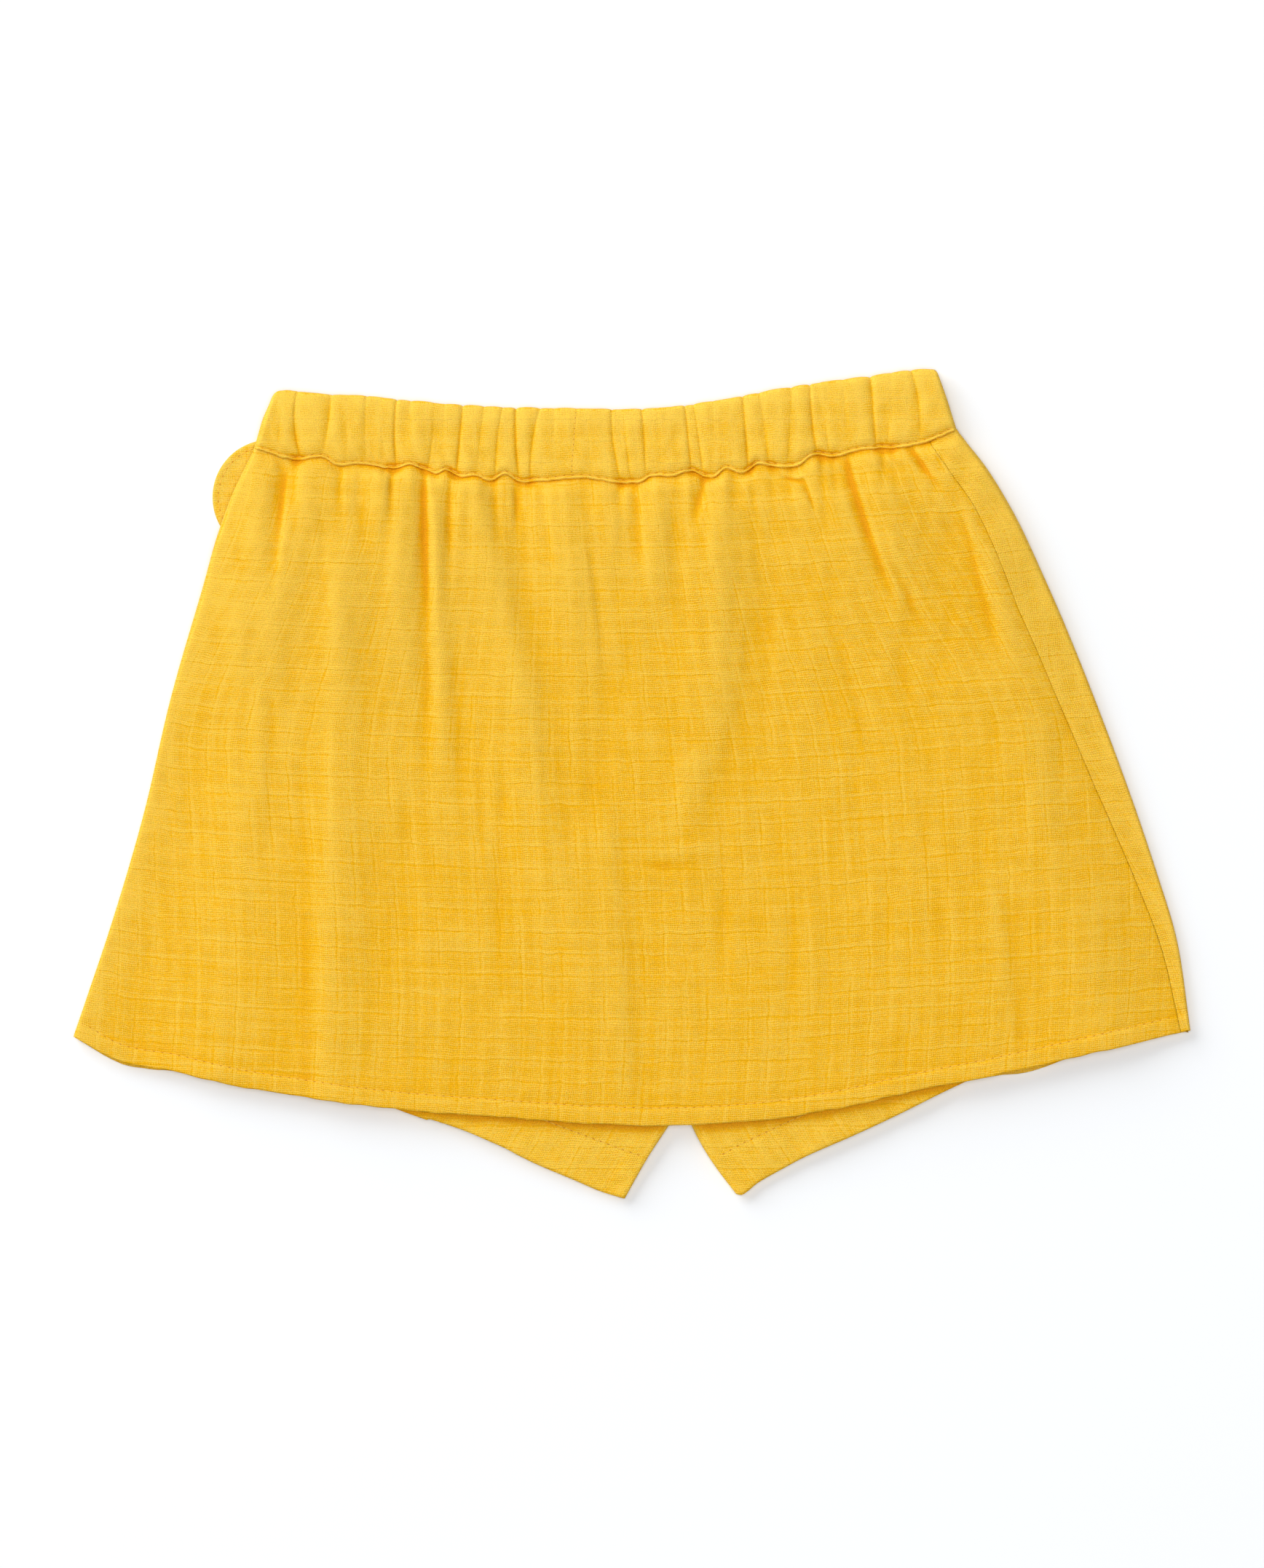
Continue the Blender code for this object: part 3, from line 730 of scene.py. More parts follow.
# --- Finishes ----------------------------------------------------------------------------------------
@dataclass
class NodeBench:
    """Short ways to put shader nodes into a material."""

    material: bpy.types.Material
    links: bpy.types.NodeLinks = field(init=False)
    nodes: bpy.types.Nodes = field(init=False)

    def __post_init__(self) -> None:
        """Opens the material's node tree."""
        self.material.use_nodes = True
        self.nodes = self.material.node_tree.nodes
        self.links = self.material.node_tree.links

    def add(self, kind: str, inputs: dict | None = None, **settings: object) -> bpy.types.Node:
        """Adds a node.

        Args:
            kind: the node's type, without ShaderNode.
            inputs: values or sockets for its inputs, by name or index.
            **settings: the node's own properties.

        Returns:
            The node.
        """
        node = self.nodes.new("ShaderNode" + kind)
        for name, value in settings.items():
            setattr(node, name, value)
        self.give(node, inputs or {})
        return node

    def give(self, node: bpy.types.Node, inputs: dict) -> None:
        """Gives a node its inputs, each a value or a socket.

        Args:
            node: the node.
            inputs: its inputs by name or index.
        """
        for key, value in inputs.items():
            if isinstance(value, bpy.types.NodeSocket):
                self.links.new(value, node.inputs[key])
            else:
                node.inputs[key].default_value = value

    def shade(self, inputs: dict) -> None:
        """Gives the material's shader its inputs."""
        self.give(self.nodes["Principled BSDF"], inputs)

    def math(self, operation: str, *inputs: object) -> bpy.types.NodeSocket:
        """The result of a Math node."""
        return self.add("Math", dict(enumerate(inputs)), operation=operation).outputs[0]

    def total(self, start: object, *parts: tuple[object, float]) -> bpy.types.NodeSocket:
        """The start with each part added at its strength.

        Args:
            start: what the parts are added to.
            *parts: (value, strength) of each part.

        Returns:
            The sum.
        """
        for value, strength in parts:
            start = self.math("MULTIPLY_ADD", value, strength, start)
        return start

    def blend(self, share: object, *colours: object) -> bpy.types.NodeSocket:
        """Two colours, each a value or a socket, mixed by a share."""
        ends = (c if isinstance(c, bpy.types.NodeSocket) else (*c, 1) for c in colours)
        return self.add("Mix", {0: share, **dict(zip((6, 7), ends))}, data_type="RGBA").outputs[2]

    def spread(self, value: object, low: float, high: float, to_low: float = 0.0,
               to_high: float = 1.0) -> bpy.types.NodeSocket:
        """The value's range from low to high, smoothly brought to another range."""
        inputs = {0: value, 1: low, 2: high, 3: to_low, 4: to_high}
        return self.add("MapRange", inputs, interpolation_type="SMOOTHSTEP").outputs[0]

    def noise(self, place: object, scale: float, detail: float = 2.0,
              colour: bool = False) -> bpy.types.NodeSocket:
        """A noise texture read at a place in millimetres, with its scale per millimetre."""
        inputs = {"Vector": place, "Scale": scale, "Detail": detail, "Roughness": 0.55}
        return self.add("TexNoise", inputs).outputs["Color" if colour else 0]

    def vector(self, operation: str, first: object, second: object) -> bpy.types.NodeSocket:
        """The result of a Vector Math node."""
        return self.add("VectorMath", {0: first, 1: second}, operation=operation).outputs[0]


@dataclass(frozen=True)
class GauzeFinish:
    """Cotton double gauze: a wavy open weave in puffed cells, tacked along lines of dots."""

    name: str
    # The tone runs from light to deep by the weave's own pattern and by painted shade and light from the
    # relief.
    light: Colour
    deep: Colour
    # The fold's yellow is painted shade: the deeper orange that sunk places take.
    fold: Colour = (0.83, 0.345, 0.004)
    weft_pitch: float = 0.62
    warp_pitch: float = 0.6
    dot_pitch: float = 1.3  # pitch of the dots in a tack line, in yarns
    cell_width: float = 6.2
    cell_height: float = 6.45
    middle_tone: float = 0.06
    pore_strength: float = 2.3
    tack_strength: float = 1.05
    pale_line: float = 0.28  # how much paler the threads beside a tack line are
    cell_strength: float = -0.04
    # Painted shade and light: how far the relief moves the tone.
    relief_shade_strength: float = -1.3
    streak: float = 1.5
    mottle: float = 1.6
    sunk: tuple[float, float, float, float] = (-0.25, -1.1, 0.0, 0.8)  # relief to share of the fold's painted shade
    grain: tuple[float, float] = (0.9, 1.1)
    pore_grain: float = -0.12
    # Painted shade: how far the relief darkens the grain.
    relief_shade_grain: float = 0.05
    tack_grain: float = -0.08
    crinkle: float = 0.1  # from here on heights of the bump
    pucker: float = 0.08
    weft_groove: float = -0.05
    warp_groove: float = -0.035
    pore_depth: float = -0.07
    cell_rise: float = 0.05
    tack_depth: float = -0.06
    roughness: float = 0.62
    soak: float = 0.8  # how far light soaks through the cotton

    def material(self) -> bpy.types.Material:
        """Builds the material on the cloth's own UV map and relief, with painted shade and light.

        Returns:
            The new material.
        """
        bench = NodeBench(bpy.data.materials.new(self.name))
        place = bench.vector(
            "MULTIPLY", bench.add("UVMap", uv_map=CLOTH_MAP).outputs[0], (1 / MM, 1 / MM, 0)
        )
        wavy = self.wavy(bench, place, 0.17, 1.7)
        fine = self.wavy(bench, wavy, 0.8, 0.3)
        pore = self.pores(bench, fine)
        cells = self.cells(bench, wavy)
        open_weave = self.open_weave(bench, place, cells)
        tacks = self.tacks(bench, wavy, fine, place)
        woven = bench.math("MULTIPLY", pore, open_weave)
        self.colour(bench, place, woven, cells, tacks)
        self.bump(bench, place, fine, woven, cells, tacks[0])
        return bench.material

    @staticmethod
    def wavy(bench: NodeBench, place: object, scale: float, reach: float) -> object:
        """The place, moved about by noise of this scale and reach.

        Args:
            bench: the material's nodes.
            place: where the pattern is read, in millimetres.
            scale: scale of the noise.
            reach: how far it moves the place.

        Returns:
            The moved place.
        """
        noise = bench.noise(place, scale, 1.0, colour=True)
        moved = bench.vector("SUBTRACT", noise, (0.5, 0.5, 0.5))
        return bench.vector("ADD", place, bench.vector("MULTIPLY", moved, (reach, reach, 0)))

    @staticmethod
    def waves(bench: NodeBench, place: object, pitch: tuple[float, float]) -> tuple:
        """Waves along u and v, 1 on each line of this pitch and 0 between them.

        Args:
            bench: the material's nodes.
            place: where the pattern is read, in millimetres.
            pitch: distance between the waves along u and v.

        Returns:
            The wave along u and the wave along v.
        """
        split = bench.add("SeparateXYZ", {0: place})
        found = []
        for axis, length in enumerate(pitch):
            turn = bench.math("MULTIPLY", split.outputs[axis], 2 * math.pi / length)
            found.append(bench.math("MULTIPLY_ADD", bench.math("COSINE", turn), 0.5, 0.5))
        return tuple(found)

    def pores(self, bench: NodeBench, place: object) -> object:
        """Gaps where the yarns leave a hole, wider than they are high."""
        across, along = self.waves(bench, place, (self.warp_pitch, self.weft_pitch))
        return bench.math("MULTIPLY", bench.math("POWER", across, 0.8), bench.math("POWER", along, 1.5))

    def cells(self, bench: NodeBench, wavy: object) -> object:
        """1 in the middle of each puffed cell and 0 on the lines that tack it down.

        Args:
            bench: the material's nodes.
            wavy: the same place, moved about at the scale of the cells.

        Returns:
            The cells, 0 to 1.
        """
        across, along = self.waves(bench, wavy, (self.cell_width, self.cell_height))
        across, along = (bench.math("SUBTRACT", 1.0, wave) for wave in (across, along))
        return bench.math("POWER", bench.math("MULTIPLY", across, along), 0.4)

    @staticmethod
    def open_weave(bench: NodeBench, place: object, cells: object) -> object:
        """How open the weave is: most in the middle of the cells, and more here than there."""
        patch = bench.spread(bench.noise(place, 0.085, 3.0), 0.34, 0.66, 0.6, 1.0)
        return bench.math("MULTIPLY", bench.math("MULTIPLY_ADD", cells, 0.75, 0.25), patch)

    def tacks(self, bench: NodeBench, wavy: object, fine: object, place: object) -> tuple:
        """The dotted lines that hold the two layers together, across and up the cloth.

        Args:
            bench: the material's nodes.
            wavy: the same place, moved about at the scale of the cells.
            fine: the same place, moved about at the scale of the yarns.
            place: where the pattern is read, in millimetres.

        Returns:
            The lines across the cloth and the lines up it.
        """
        split = bench.add("SeparateXYZ", {0: wavy})
        pitches = (self.dot_pitch * self.warp_pitch, self.dot_pitch * self.weft_pitch)
        dots = self.waves(bench, fine, pitches)
        lines = []
        for axis, dot, pitch, seen in (
            (1, dots[0], self.cell_height, (0.3, 0.56)), (0, dots[1], self.cell_width, (0.36, 0.62))
        ):
            turn = bench.math("DIVIDE", split.outputs[axis], pitch)
            signed = bench.math("SUBTRACT", bench.math("FRACT", turn), 0.5)
            near = bench.spread(bench.math("ABSOLUTE", signed), 0.44, 0.5, 0.0, 1.0)
            beside = bench.math("ABSOLUTE", bench.math("ADD", signed, 0.37))
            pale = bench.spread(beside, 0.0, 0.09, self.pale_line, 0.0)
            stretch = bench.vector("MULTIPLY", place, (0.05, 0.12, 1) if axis else (0.12, 0.05, 1))
            patch = bench.spread(bench.noise(stretch, 1.0, 2.0), *seen)
            dotted = bench.math("MULTIPLY", near, bench.math("MULTIPLY_ADD", dot, 0.7, 0.3))
            lines.append(bench.math("MULTIPLY", bench.math("SUBTRACT", dotted, pale), patch))
        return tuple(lines)

    def colour(self, bench: NodeBench, place: object, woven: object, cells: object,
               tacks: tuple) -> None:
        """Mixes light, deep and fold yellows with painted shade and light, and gives them to the shader.

        Args:
            bench: the material's nodes.
            place: where the pattern is read, in millimetres.
            woven: where the weave is open.
            cells: the puffed cells.
            tacks: the tack lines across the cloth and up it.
        """
        relief_shade = bench.add("Attribute", attribute_name=RELIEF_SHADE).outputs["Fac"]
        # Painted shade and light: the relief darkens the tone in sunk places and lightens it on raised
        # ones.
        tone = bench.total(
            self.middle_tone, (woven, self.pore_strength), (tacks[0], self.tack_strength),
            (tacks[1], self.tack_strength), (cells, self.cell_strength),
            (relief_shade, self.relief_shade_strength),
        )
        for stretch, strength in (
            ((0.03, 0.8, 1), self.streak), ((0.75, 0.03, 1), self.streak),
            ((0.85, 0.95, 1), self.mottle),
        ):
            noise = bench.noise(bench.vector("MULTIPLY", place, stretch), 1.0)
            tone = bench.total(tone, (bench.math("SUBTRACT", noise, 0.5), strength))
        kept = bench.add("Clamp", {0: tone}).outputs[0]
        yellow = bench.blend(kept, self.light, self.deep)
        # Painted shade: sunk places take the fold's deeper orange.
        yellow = bench.blend(bench.spread(relief_shade, *self.sunk), yellow, self.fold)
        grain = bench.spread(bench.noise(place, 2.6), 0.36, 0.64, *self.grain)
        # Painted shade: the relief also darkens the grain a little in sunk places.
        grain = bench.total(
            grain, (woven, self.pore_grain), (relief_shade, self.relief_shade_grain),
            (bench.math("ADD", *tacks), self.tack_grain),
        )
        grained = bench.add("VectorMath", {0: yellow, "Scale": grain}, operation="SCALE").outputs[0]
        bench.shade({
            "Base Color": grained, "Roughness": self.roughness, "Specular IOR Level": 0.1,
            "Subsurface Weight": 0.3, "Subsurface Radius": (1.0, 0.6, 0.1),
            "Subsurface Scale": self.soak * MM,
        })

    def bump(self, bench: NodeBench, place: object, fine: object, woven: object, cells: object,
             tack: object) -> None:
        """Raises yarns, cells and crinkle, in millimetres, on the shader's normal.

        Args:
            bench: the material's nodes.
            place: where the pattern is read, in millimetres.
            fine: the same place, moved about at the scale of the yarns.
            woven: where the weave is open.
            cells: the puffed cells.
            tack: the tack lines across the cloth.
        """
        warp, weft = self.waves(bench, fine, (self.warp_pitch, self.weft_pitch))
        height = bench.total(
            bench.math("MULTIPLY", bench.noise(place, 0.4, 3.0), self.crinkle),
            (bench.noise(place, 1.1), self.pucker), (weft, self.weft_groove),
            (warp, self.warp_groove), (woven, self.pore_depth), (cells, self.cell_rise),
            (tack, self.tack_depth),
        )
        bump = bench.add("Bump", {"Height": height, "Strength": 1.0, "Distance": MM})
        bench.shade({"Normal": bump.outputs[0]})


@dataclass(frozen=True)
class ThreadFinish:
    """Sewing thread of the cloth's yellow, with painted shade where it dives in its holes."""

    name: str
    light: Colour
    # The hole's colour is painted shade.
    hole: Colour

    def material(self) -> bpy.types.Material:
        """Builds the material, with painted shade in the holes by the stitch's own depth.

        Returns:
            The new material.
        """
        bench = NodeBench(bpy.data.materials.new(self.name))
        pit = bench.add("Attribute", attribute_name=PIT).outputs["Fac"]
        bench.shade({"Base Color": bench.blend(pit, self.light, self.hole), "Roughness": 0.7})
        return bench.material


@dataclass(frozen=True)
class PaperFinish:
    """The white sweep under the garment."""

    name: str = "white_sweep"
    white: Colour = (0.94, 0.958, 0.98)

    def material(self) -> bpy.types.Material:
        """Builds the matt white material.

        Returns:
            The new material.
        """
        bench = NodeBench(bpy.data.materials.new(self.name))
        bench.shade({"Base Color": (*self.white, 1), "Roughness": 1.0, "Specular IOR Level": 0.0})
        return bench.material


SKIRT_GAUZE = GauzeFinish("skirt_gauze", (0.895, 0.554, 0.06), (0.887, 0.459, 0.001))
# A little lighter than the skirt's gauze: painted light that offsets the shade on the legs, which lie
# lower.
SHORTS_GAUZE = GauzeFinish("shorts_gauze", (0.94, 0.586, 0.063), (0.93, 0.487, 0.003))
BAND_GAUZE = GauzeFinish(
    "waistband_gauze", (0.93, 0.587, 0.071), (0.92, 0.485, 0.002), tack_strength=0.12,
    streak=0.5, cell_strength=0.05,
)
TAB_GAUZE = GauzeFinish("tab_gauze", (0.79, 0.55, 0.08), (0.79, 0.45, 0.004), tack_strength=0.1)
# Its second yellow is painted shade in the stitch holes.
THREAD = ThreadFinish("yellow_thread", (0.86, 0.5, 0.045), (0.6, 0.24, 0.003))


# --- Cloth pieces ------------------------------------------------------------------------------------
@dataclass(frozen=True)
class Cloth:
    """A piece of cloth to be made: its node, its finish, and the cut that shows."""

    name: str
    node: str
    slot: str
    finish: GauzeFinish
    flat: tuple[float, float]
    area: float
    held: Held
    rests_on: tuple[str, ...] = ()


def stand(name: str, data: bpy.types.ID) -> bpy.types.Object:
    """Puts a mesh, a lamp or a camera in the scene.

    Args:
        name: the name.
        data: the mesh, the lamp's or the camera's data.

    Returns:
        The object.
    """
    thing = bpy.data.objects.new(name, data)
    bpy.context.scene.collection.objects.link(thing)
    return thing


def loft(
    fields: tuple[Array, ...], flip: bool = False, left_open: tuple[int, int] | None = None,
) -> bpy.types.Mesh:
    """A grid of cloth whose corners lie where the fields put them.

    Args:
        fields: x, y, z, u, v and relief (with painted shade and light) of every corner, by row and column.
        flip: turns the faces round where the columns run the other way about the cloth.
        left_open: faces from this column on and before this row are left out.

    Returns:
        The mesh in metres, with its UV map and relief of painted shade and light, corners that meet joined.
    """
    fields = np.broadcast_arrays(*fields)
    rows, columns = (count - 1 for count in fields[0].shape)
    grid = bmesh.new()
    bmesh.ops.create_grid(grid, x_segments=columns, y_segments=rows, size=1)
    if left_open:
        middles = [(face, face.calc_center_median()) for face in grid.faces]
        holes = [
            face for face, middle in middles
            if (middle.x + 1) / 2 * columns >= left_open[0] and (middle.y + 1) / 2 * rows < left_open[1]
        ]
        bmesh.ops.delete(grid, geom=holes, context="FACES")
    mesh = bpy.data.meshes.new("cloth")
    grid.to_mesh(mesh)
    spots = np.empty(len(mesh.vertices) * 3, np.float32)
    mesh.vertices.foreach_get("co", spots)
    spots = spots.reshape(-1, 3)
    column = np.rint((spots[:, 0] + 1) / 2 * columns).astype(int)
    row = np.rint((spots[:, 1] + 1) / 2 * rows).astype(int)
    x, y, z, u, v, relief_shade = (value[row, column] for value in fields)
    mesh.vertices.foreach_set("co", (np.stack([x, y, z], 1) * MM).astype(np.float32).ravel())
    corners = np.empty(len(mesh.loops), np.int32)
    mesh.loops.foreach_get("vertex_index", corners)
    layer = mesh.uv_layers.new(name=CLOTH_MAP)
    layer.data.foreach_set("uv", (np.stack([u, v], 1)[corners] * MM).astype(np.float32).ravel())
    marks = mesh.attributes.new(RELIEF_SHADE, "FLOAT", "POINT")
    marks.data.foreach_set("value", relief_shade.astype(np.float32))
    grid.clear()
    grid.from_mesh(mesh)
    bmesh.ops.remove_doubles(grid, verts=grid.verts, dist=JOIN_WITHIN)
    if flip:
        bmesh.ops.reverse_faces(grid, faces=grid.faces)
    grid.to_mesh(mesh)
    grid.free()
    mesh.shade_smooth()
    return mesh


def yarn_lengths(x: Array, y: Array, z: Array, centre: int) -> Array:
    """Length of yarn along each row of a loft, from a column in its middle.

    Args:
        x: places across the garment, in millimetres.
        y: places up the garment, in millimetres.
        z: heights in millimetres.
        centre: number of the column that the lengths are counted from.

    Returns:
        The lengths, row by row.
    """
    steps = np.sqrt(sum(np.diff(value, axis=1) ** 2 for value in (x, y, z)))
    length = np.concatenate([np.zeros((len(x), 1)), np.cumsum(steps, axis=1)], axis=1)
    return length - length[:, centre:centre + 1]


def relief_of(z: Array, reach: int, scale: float) -> Array:
    """How far each point stands over the cloth round it.

    Args:
        z: heights of a loft, row by row.
        reach: how many columns and rows away are still round it.
        scale: the height that counts as 1.

    Returns:
        Values from -1 to 1.
    """
    mean = z
    for axis in (0, 1):
        padded = np.concatenate([
            np.repeat(mean.take([0], axis), reach, axis), mean,
            np.repeat(mean.take([-1], axis), reach, axis),
        ], axis)
        sums = np.cumsum(padded, axis=axis)
        first = sums.take(range(0, sums.shape[axis] - 2 * reach), axis)
        last = sums.take(range(2 * reach, sums.shape[axis]), axis)
        mean = (last - first) / (2 * reach)
    return np.clip((z - mean) / scale, -1, 1)


def dress(cloth: Cloth, mesh: bpy.types.Mesh, wall: float = 0.0) -> bpy.types.Object:
    """Makes the piece, gives it its finish, attaches it to the body and hides the frame's node that it
    stands for.

    Args:
        cloth: what it is.
        mesh: its outer face, or its closed shell.
        wall: thickness to add inwards.

    Returns:
        The piece.
    """
    mesh.name = cloth.name
    piece = stand(cloth.name, mesh)
    mesh.materials.append(cloth.finish.material())
    if wall:
        shell = piece.modifiers.new("wall", "SOLIDIFY")
        shell.thickness = wall * MM
        shell.offset = -1
    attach(piece, BODY)
    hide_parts(cloth.node)
    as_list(cloth.rests_on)
    return piece


@dataclass
class Waistband:
    """The gathered band: a closed ring whose wall is folded over at the rim."""

    cloth: Cloth
    gather_steps: int = 11
    turn_steps: int = 14
    under_columns: int = 220
    outer_rows: int = 40
    nose_steps: int = 8
    furrow_depth: float = 0.7
    crease: float = 0.25
    crease_reach: float = 0.35
    wide_gather: float = 6.5
    narrow_drop: float = 0.7  # how much lower a narrow gather stands than a wide one
    roll_up: float = 0.6  # the height up the band at which its lower edge is rolled
    roll_height: float = 0.45
    ditch: float = 0.18
    nose: float = 0.8
    rim_notch: float = 0.8
    rim_drop: float = 0.6
    rim_corners: tuple[float, float] = (3.0, 1.6)
    fullness: float = 1.25  # yarns in the gathered cloth, for each one that its face shows
    under_gathers: tuple[float, float] = (0.9, 0.25)  # heights of the wide and the narrow ones
    relief_shade_strength: float = 1.25
    stitch_line: float = 1.4  # how far above the seam its stitches get painted shade
    stitch_shade: tuple[float, float] = (0.02, 0.9)  # painted shade where it lies loose, and more in a knot

    def rows(self) -> list[tuple[float, float]]:
        """Rows (up, inset) from the lower edge up the outside, round the rim and down inside.

        Returns:
            The rows, in order.
        """
        radius = BAND_WALL / 2
        body = BAND_HEIGHT - radius
        outer = []
        for k in range(self.outer_rows + 1):
            share = k / self.outer_rows
            # Rows lie closer together at the rolled edge.
            outer.append((mix(share ** 2.1, share, 0.2) * body / BAND_HEIGHT, 0.0))
        rim = []
        for k in range(1, self.nose_steps):
            angle = math.pi * k / self.nose_steps
            rim.append(((body + radius * math.sin(angle)) / BAND_HEIGHT, radius * (1 - math.cos(angle))))
        inner = [(share * body / BAND_HEIGHT, BAND_WALL) for share in (1.0, 0.7, 0.35, 0.08)]
        edge = [(0.028, self.nose), (0.006, 0.75 * self.nose), (0.004, 0.25 * self.nose)]
        return outer + rim + inner + edge

    def station_table(self, up: float) -> list[tuple[float, float]]:
        """Stations (across, turn) round the band at this height up it.

        Args:
            up: share of the way up the band.

        Returns:
            The stations, in order.
        """
        marks = SHAPE.furrow_marks(up)
        top = []
        for start, end in zip(marks, marks[1:]):
            for k in range(1, self.gather_steps + 1):
                share = 0.5 - 0.5 * math.cos(math.pi * k / self.gather_steps)
                top.append((mix(start, end, mix(share, k / self.gather_steps, 0.3)), 90.0))
        under = [(1 - k / self.under_columns, -90.0) for k in range(1, self.under_columns + 1)]
        return (
            stations(Side.LEFT, self.turn_steps) + top[:-1]
            + stations(Side.RIGHT, self.turn_steps) + under
        )

    def gathers(self, across: Array, up: Array) -> Array:
        """How far the gathered face lies under the tops of its widest gathers.

        Args:
            across: share of the way from the left fold to the right one.
            up: share of the way up the band.

        Returns:
            Heights, 0 or less.
        """
        found = np.empty_like(across)
        for row, height_up in enumerate(up[:, 0]):
            marks = SHAPE.furrow_marks(height_up)
            depths = np.array([SIDE_DEPTH] + [f.depth(height_up) for f in FURROWS] + [SIDE_DEPTH])
            soft = 1.45 - 0.8 * np.clip(depths, 0, 1)
            floors = -self.furrow_depth * depths
            k = np.clip(np.searchsorted(marks, across[row], side="right") - 1, 0, len(marks) - 2)
            share = np.clip((across[row] - marks[k]) / (marks[k + 1] - marks[k]), 0, 1)
            width = (marks[k + 1] - marks[k]) * BAND_WIDTH
            crown = -self.narrow_drop * (1 - np.clip(width / self.wide_gather, 0.3, 1.15))
            hump = (4 * share * (1 - share)) ** mix(soft[k], soft[k + 1], share)
            crease = depths[k] * bell(share * width, self.crease_reach)
            crease = crease + depths[k + 1] * bell((1 - share) * width, self.crease_reach)
            found[row] = mix(mix(floors[k], floors[k + 1], share), crown, hump) - self.crease * crease
        return found

    def wrinkles(self, x: Array, y: Array) -> Array:
        """Fine wrinkles on the gathers, most of them upright."""
        return crinkled(x, y, (12, 1.5, 12, 0.15, 0.1), (13, 3.6, 8, -0.2, 0.2), (16, 5, 2.2, 0, 0.05))

    def top(self, across: Array, up: Array, x: Array, y: Array, inset: Array) -> Array:
        """Height of the top face, its gathers, rolled edge and stitched ditch included.

        Args:
            across: share of the way from the left fold to the right one.
            up: share of the way up the band.
            x: places across the garment, in millimetres.
            y: places up the garment, in millimetres.
            inset: depth of the point inside the wall.

        Returns:
            Heights in millimetres.
        """
        above = up * BAND_HEIGHT
        seam = SHAPE.seam_height(x)
        body = BAND_LOFT + GATHER_HEIGHT + self.gathers(across, up) + self.wrinkles(x, y)
        body = body - self.rim_drop * np.clip((up - 0.75) / 0.25, 0, 1) ** 2
        puff = 1 - (1 - np.clip((above - 1.1) / 3.2, 0, 1)) ** 2
        level = mix(seam - 0.1, body, puff)
        level = level + self.roll_height * bell(above - self.roll_up, 0.33)
        level = level - self.ditch * bell(above - BAND_STITCH_UP, 0.3)
        level = level - 0.5 * (1 - np.sqrt(np.clip(above / 0.45, 0, 1)))
        shown = 1 - np.clip(inset / BAND_WALL, 0, 1)
        return SHAPE.tab_lift(x, y) + BAND_LOFT + (level - BAND_LOFT) * shown

    def under(self, x: Array, y: Array) -> Array:
        """Height of the under face: flat on the table, with its gathers pressed up into it.

        Args:
            x: places across the garment, in millimetres.
            y: places up the garment, in millimetres.

        Returns:
            Heights over the table.
        """
        folds = np.clip(Crinkle(14, 5.6, 60).at(x, y), 0, 1)
        fine = np.clip(Crinkle(15, 2.6, 40).at(x, y), 0, 1)
        clear = ramp(y - WAIST_SEAM.level(x), 0.8, 4)
        wide, narrow = self.under_gathers
        return SHAPE.tab_lift(x, y) + (wide * folds + narrow * fine) * clear

    def rounded_rim(self, x: Array, up: Array) -> Array:
        """How far the rim's corners are rounded down.

        Args:
            x: places across the garment, in millimetres.
            up: share of the way up the band.

        Returns:
            How far each point comes down the plan.
        """
        left, right = SHAPE.band_plan(0.0, up[:, :1]), SHAPE.band_plan(1.0, up[:, :1])
        drop = 0
        for radius, off in zip(self.rim_corners, (x - left[..., 0], right[..., 0] - x)):
            short = np.clip(radius - off, 0, radius)
            drop = drop + radius - np.sqrt(radius ** 2 - short ** 2)
        return drop * ramp(up, 0.45, 1)

    def build(self) -> bpy.types.Object:
        """Builds the band.

        Returns:
            The piece.
        """
        wall_rows = self.rows()
        wall_rows.append(wall_rows[0])
        tables = np.array([self.station_table(up) for up, _ in wall_rows])
        across, turn = tables[..., 0], tables[..., 1]
        up, inset = (np.array([[row[k]] for row in wall_rows]) + 0 * across for k in (0, 1))
        x, y, z = SHAPE.ring(
            lambda share: SHAPE.band_plan(share, up),
            lambda share, x, y: self.top(share, up, x, y, inset), self.under, across, turn, inset,
        )
        above = up * BAND_HEIGHT
        y = y + SHAPE.seam_shift(x, above) - self.rounded_rim(x, up)
        y = y + self.rim_notch * ramp(up, 0.8, 1) * self.gathers(across, up)
        u = yarn_lengths(x, y, z, across.shape[1] // 3) * self.fullness
        v = y - 2.2 * inset
        relief_shade = self.relief_shade(x, z, above) * (turn > FACES_UP) * (inset == 0)
        return dress(self.cloth, loft((x, y, z, u, v, relief_shade)))

    def relief_shade(self, x: Array, z: Array, above: Array) -> Array:
        """Painted shade and light of the face: by its gathers, and painted shade in the seam and at its
        stitches.

        Args:
            x: places across the garment, in millimetres.
            z: heights in millimetres.
            above: distance above the waist seam.

        Returns:
            The relief and painted shade of each point.
        """
        drawn = SHAPE.knots(x)
        loose, tight = self.stitch_shade
        relief_shade = self.relief_shade_strength * relief_of(z, 6, 1.0) - drawn * bell(above, 0.3 + 0.4 * drawn)
        return relief_shade - (loose + tight * drawn) * bell(above - self.stitch_line, 0.35 + 0.5 * drawn)


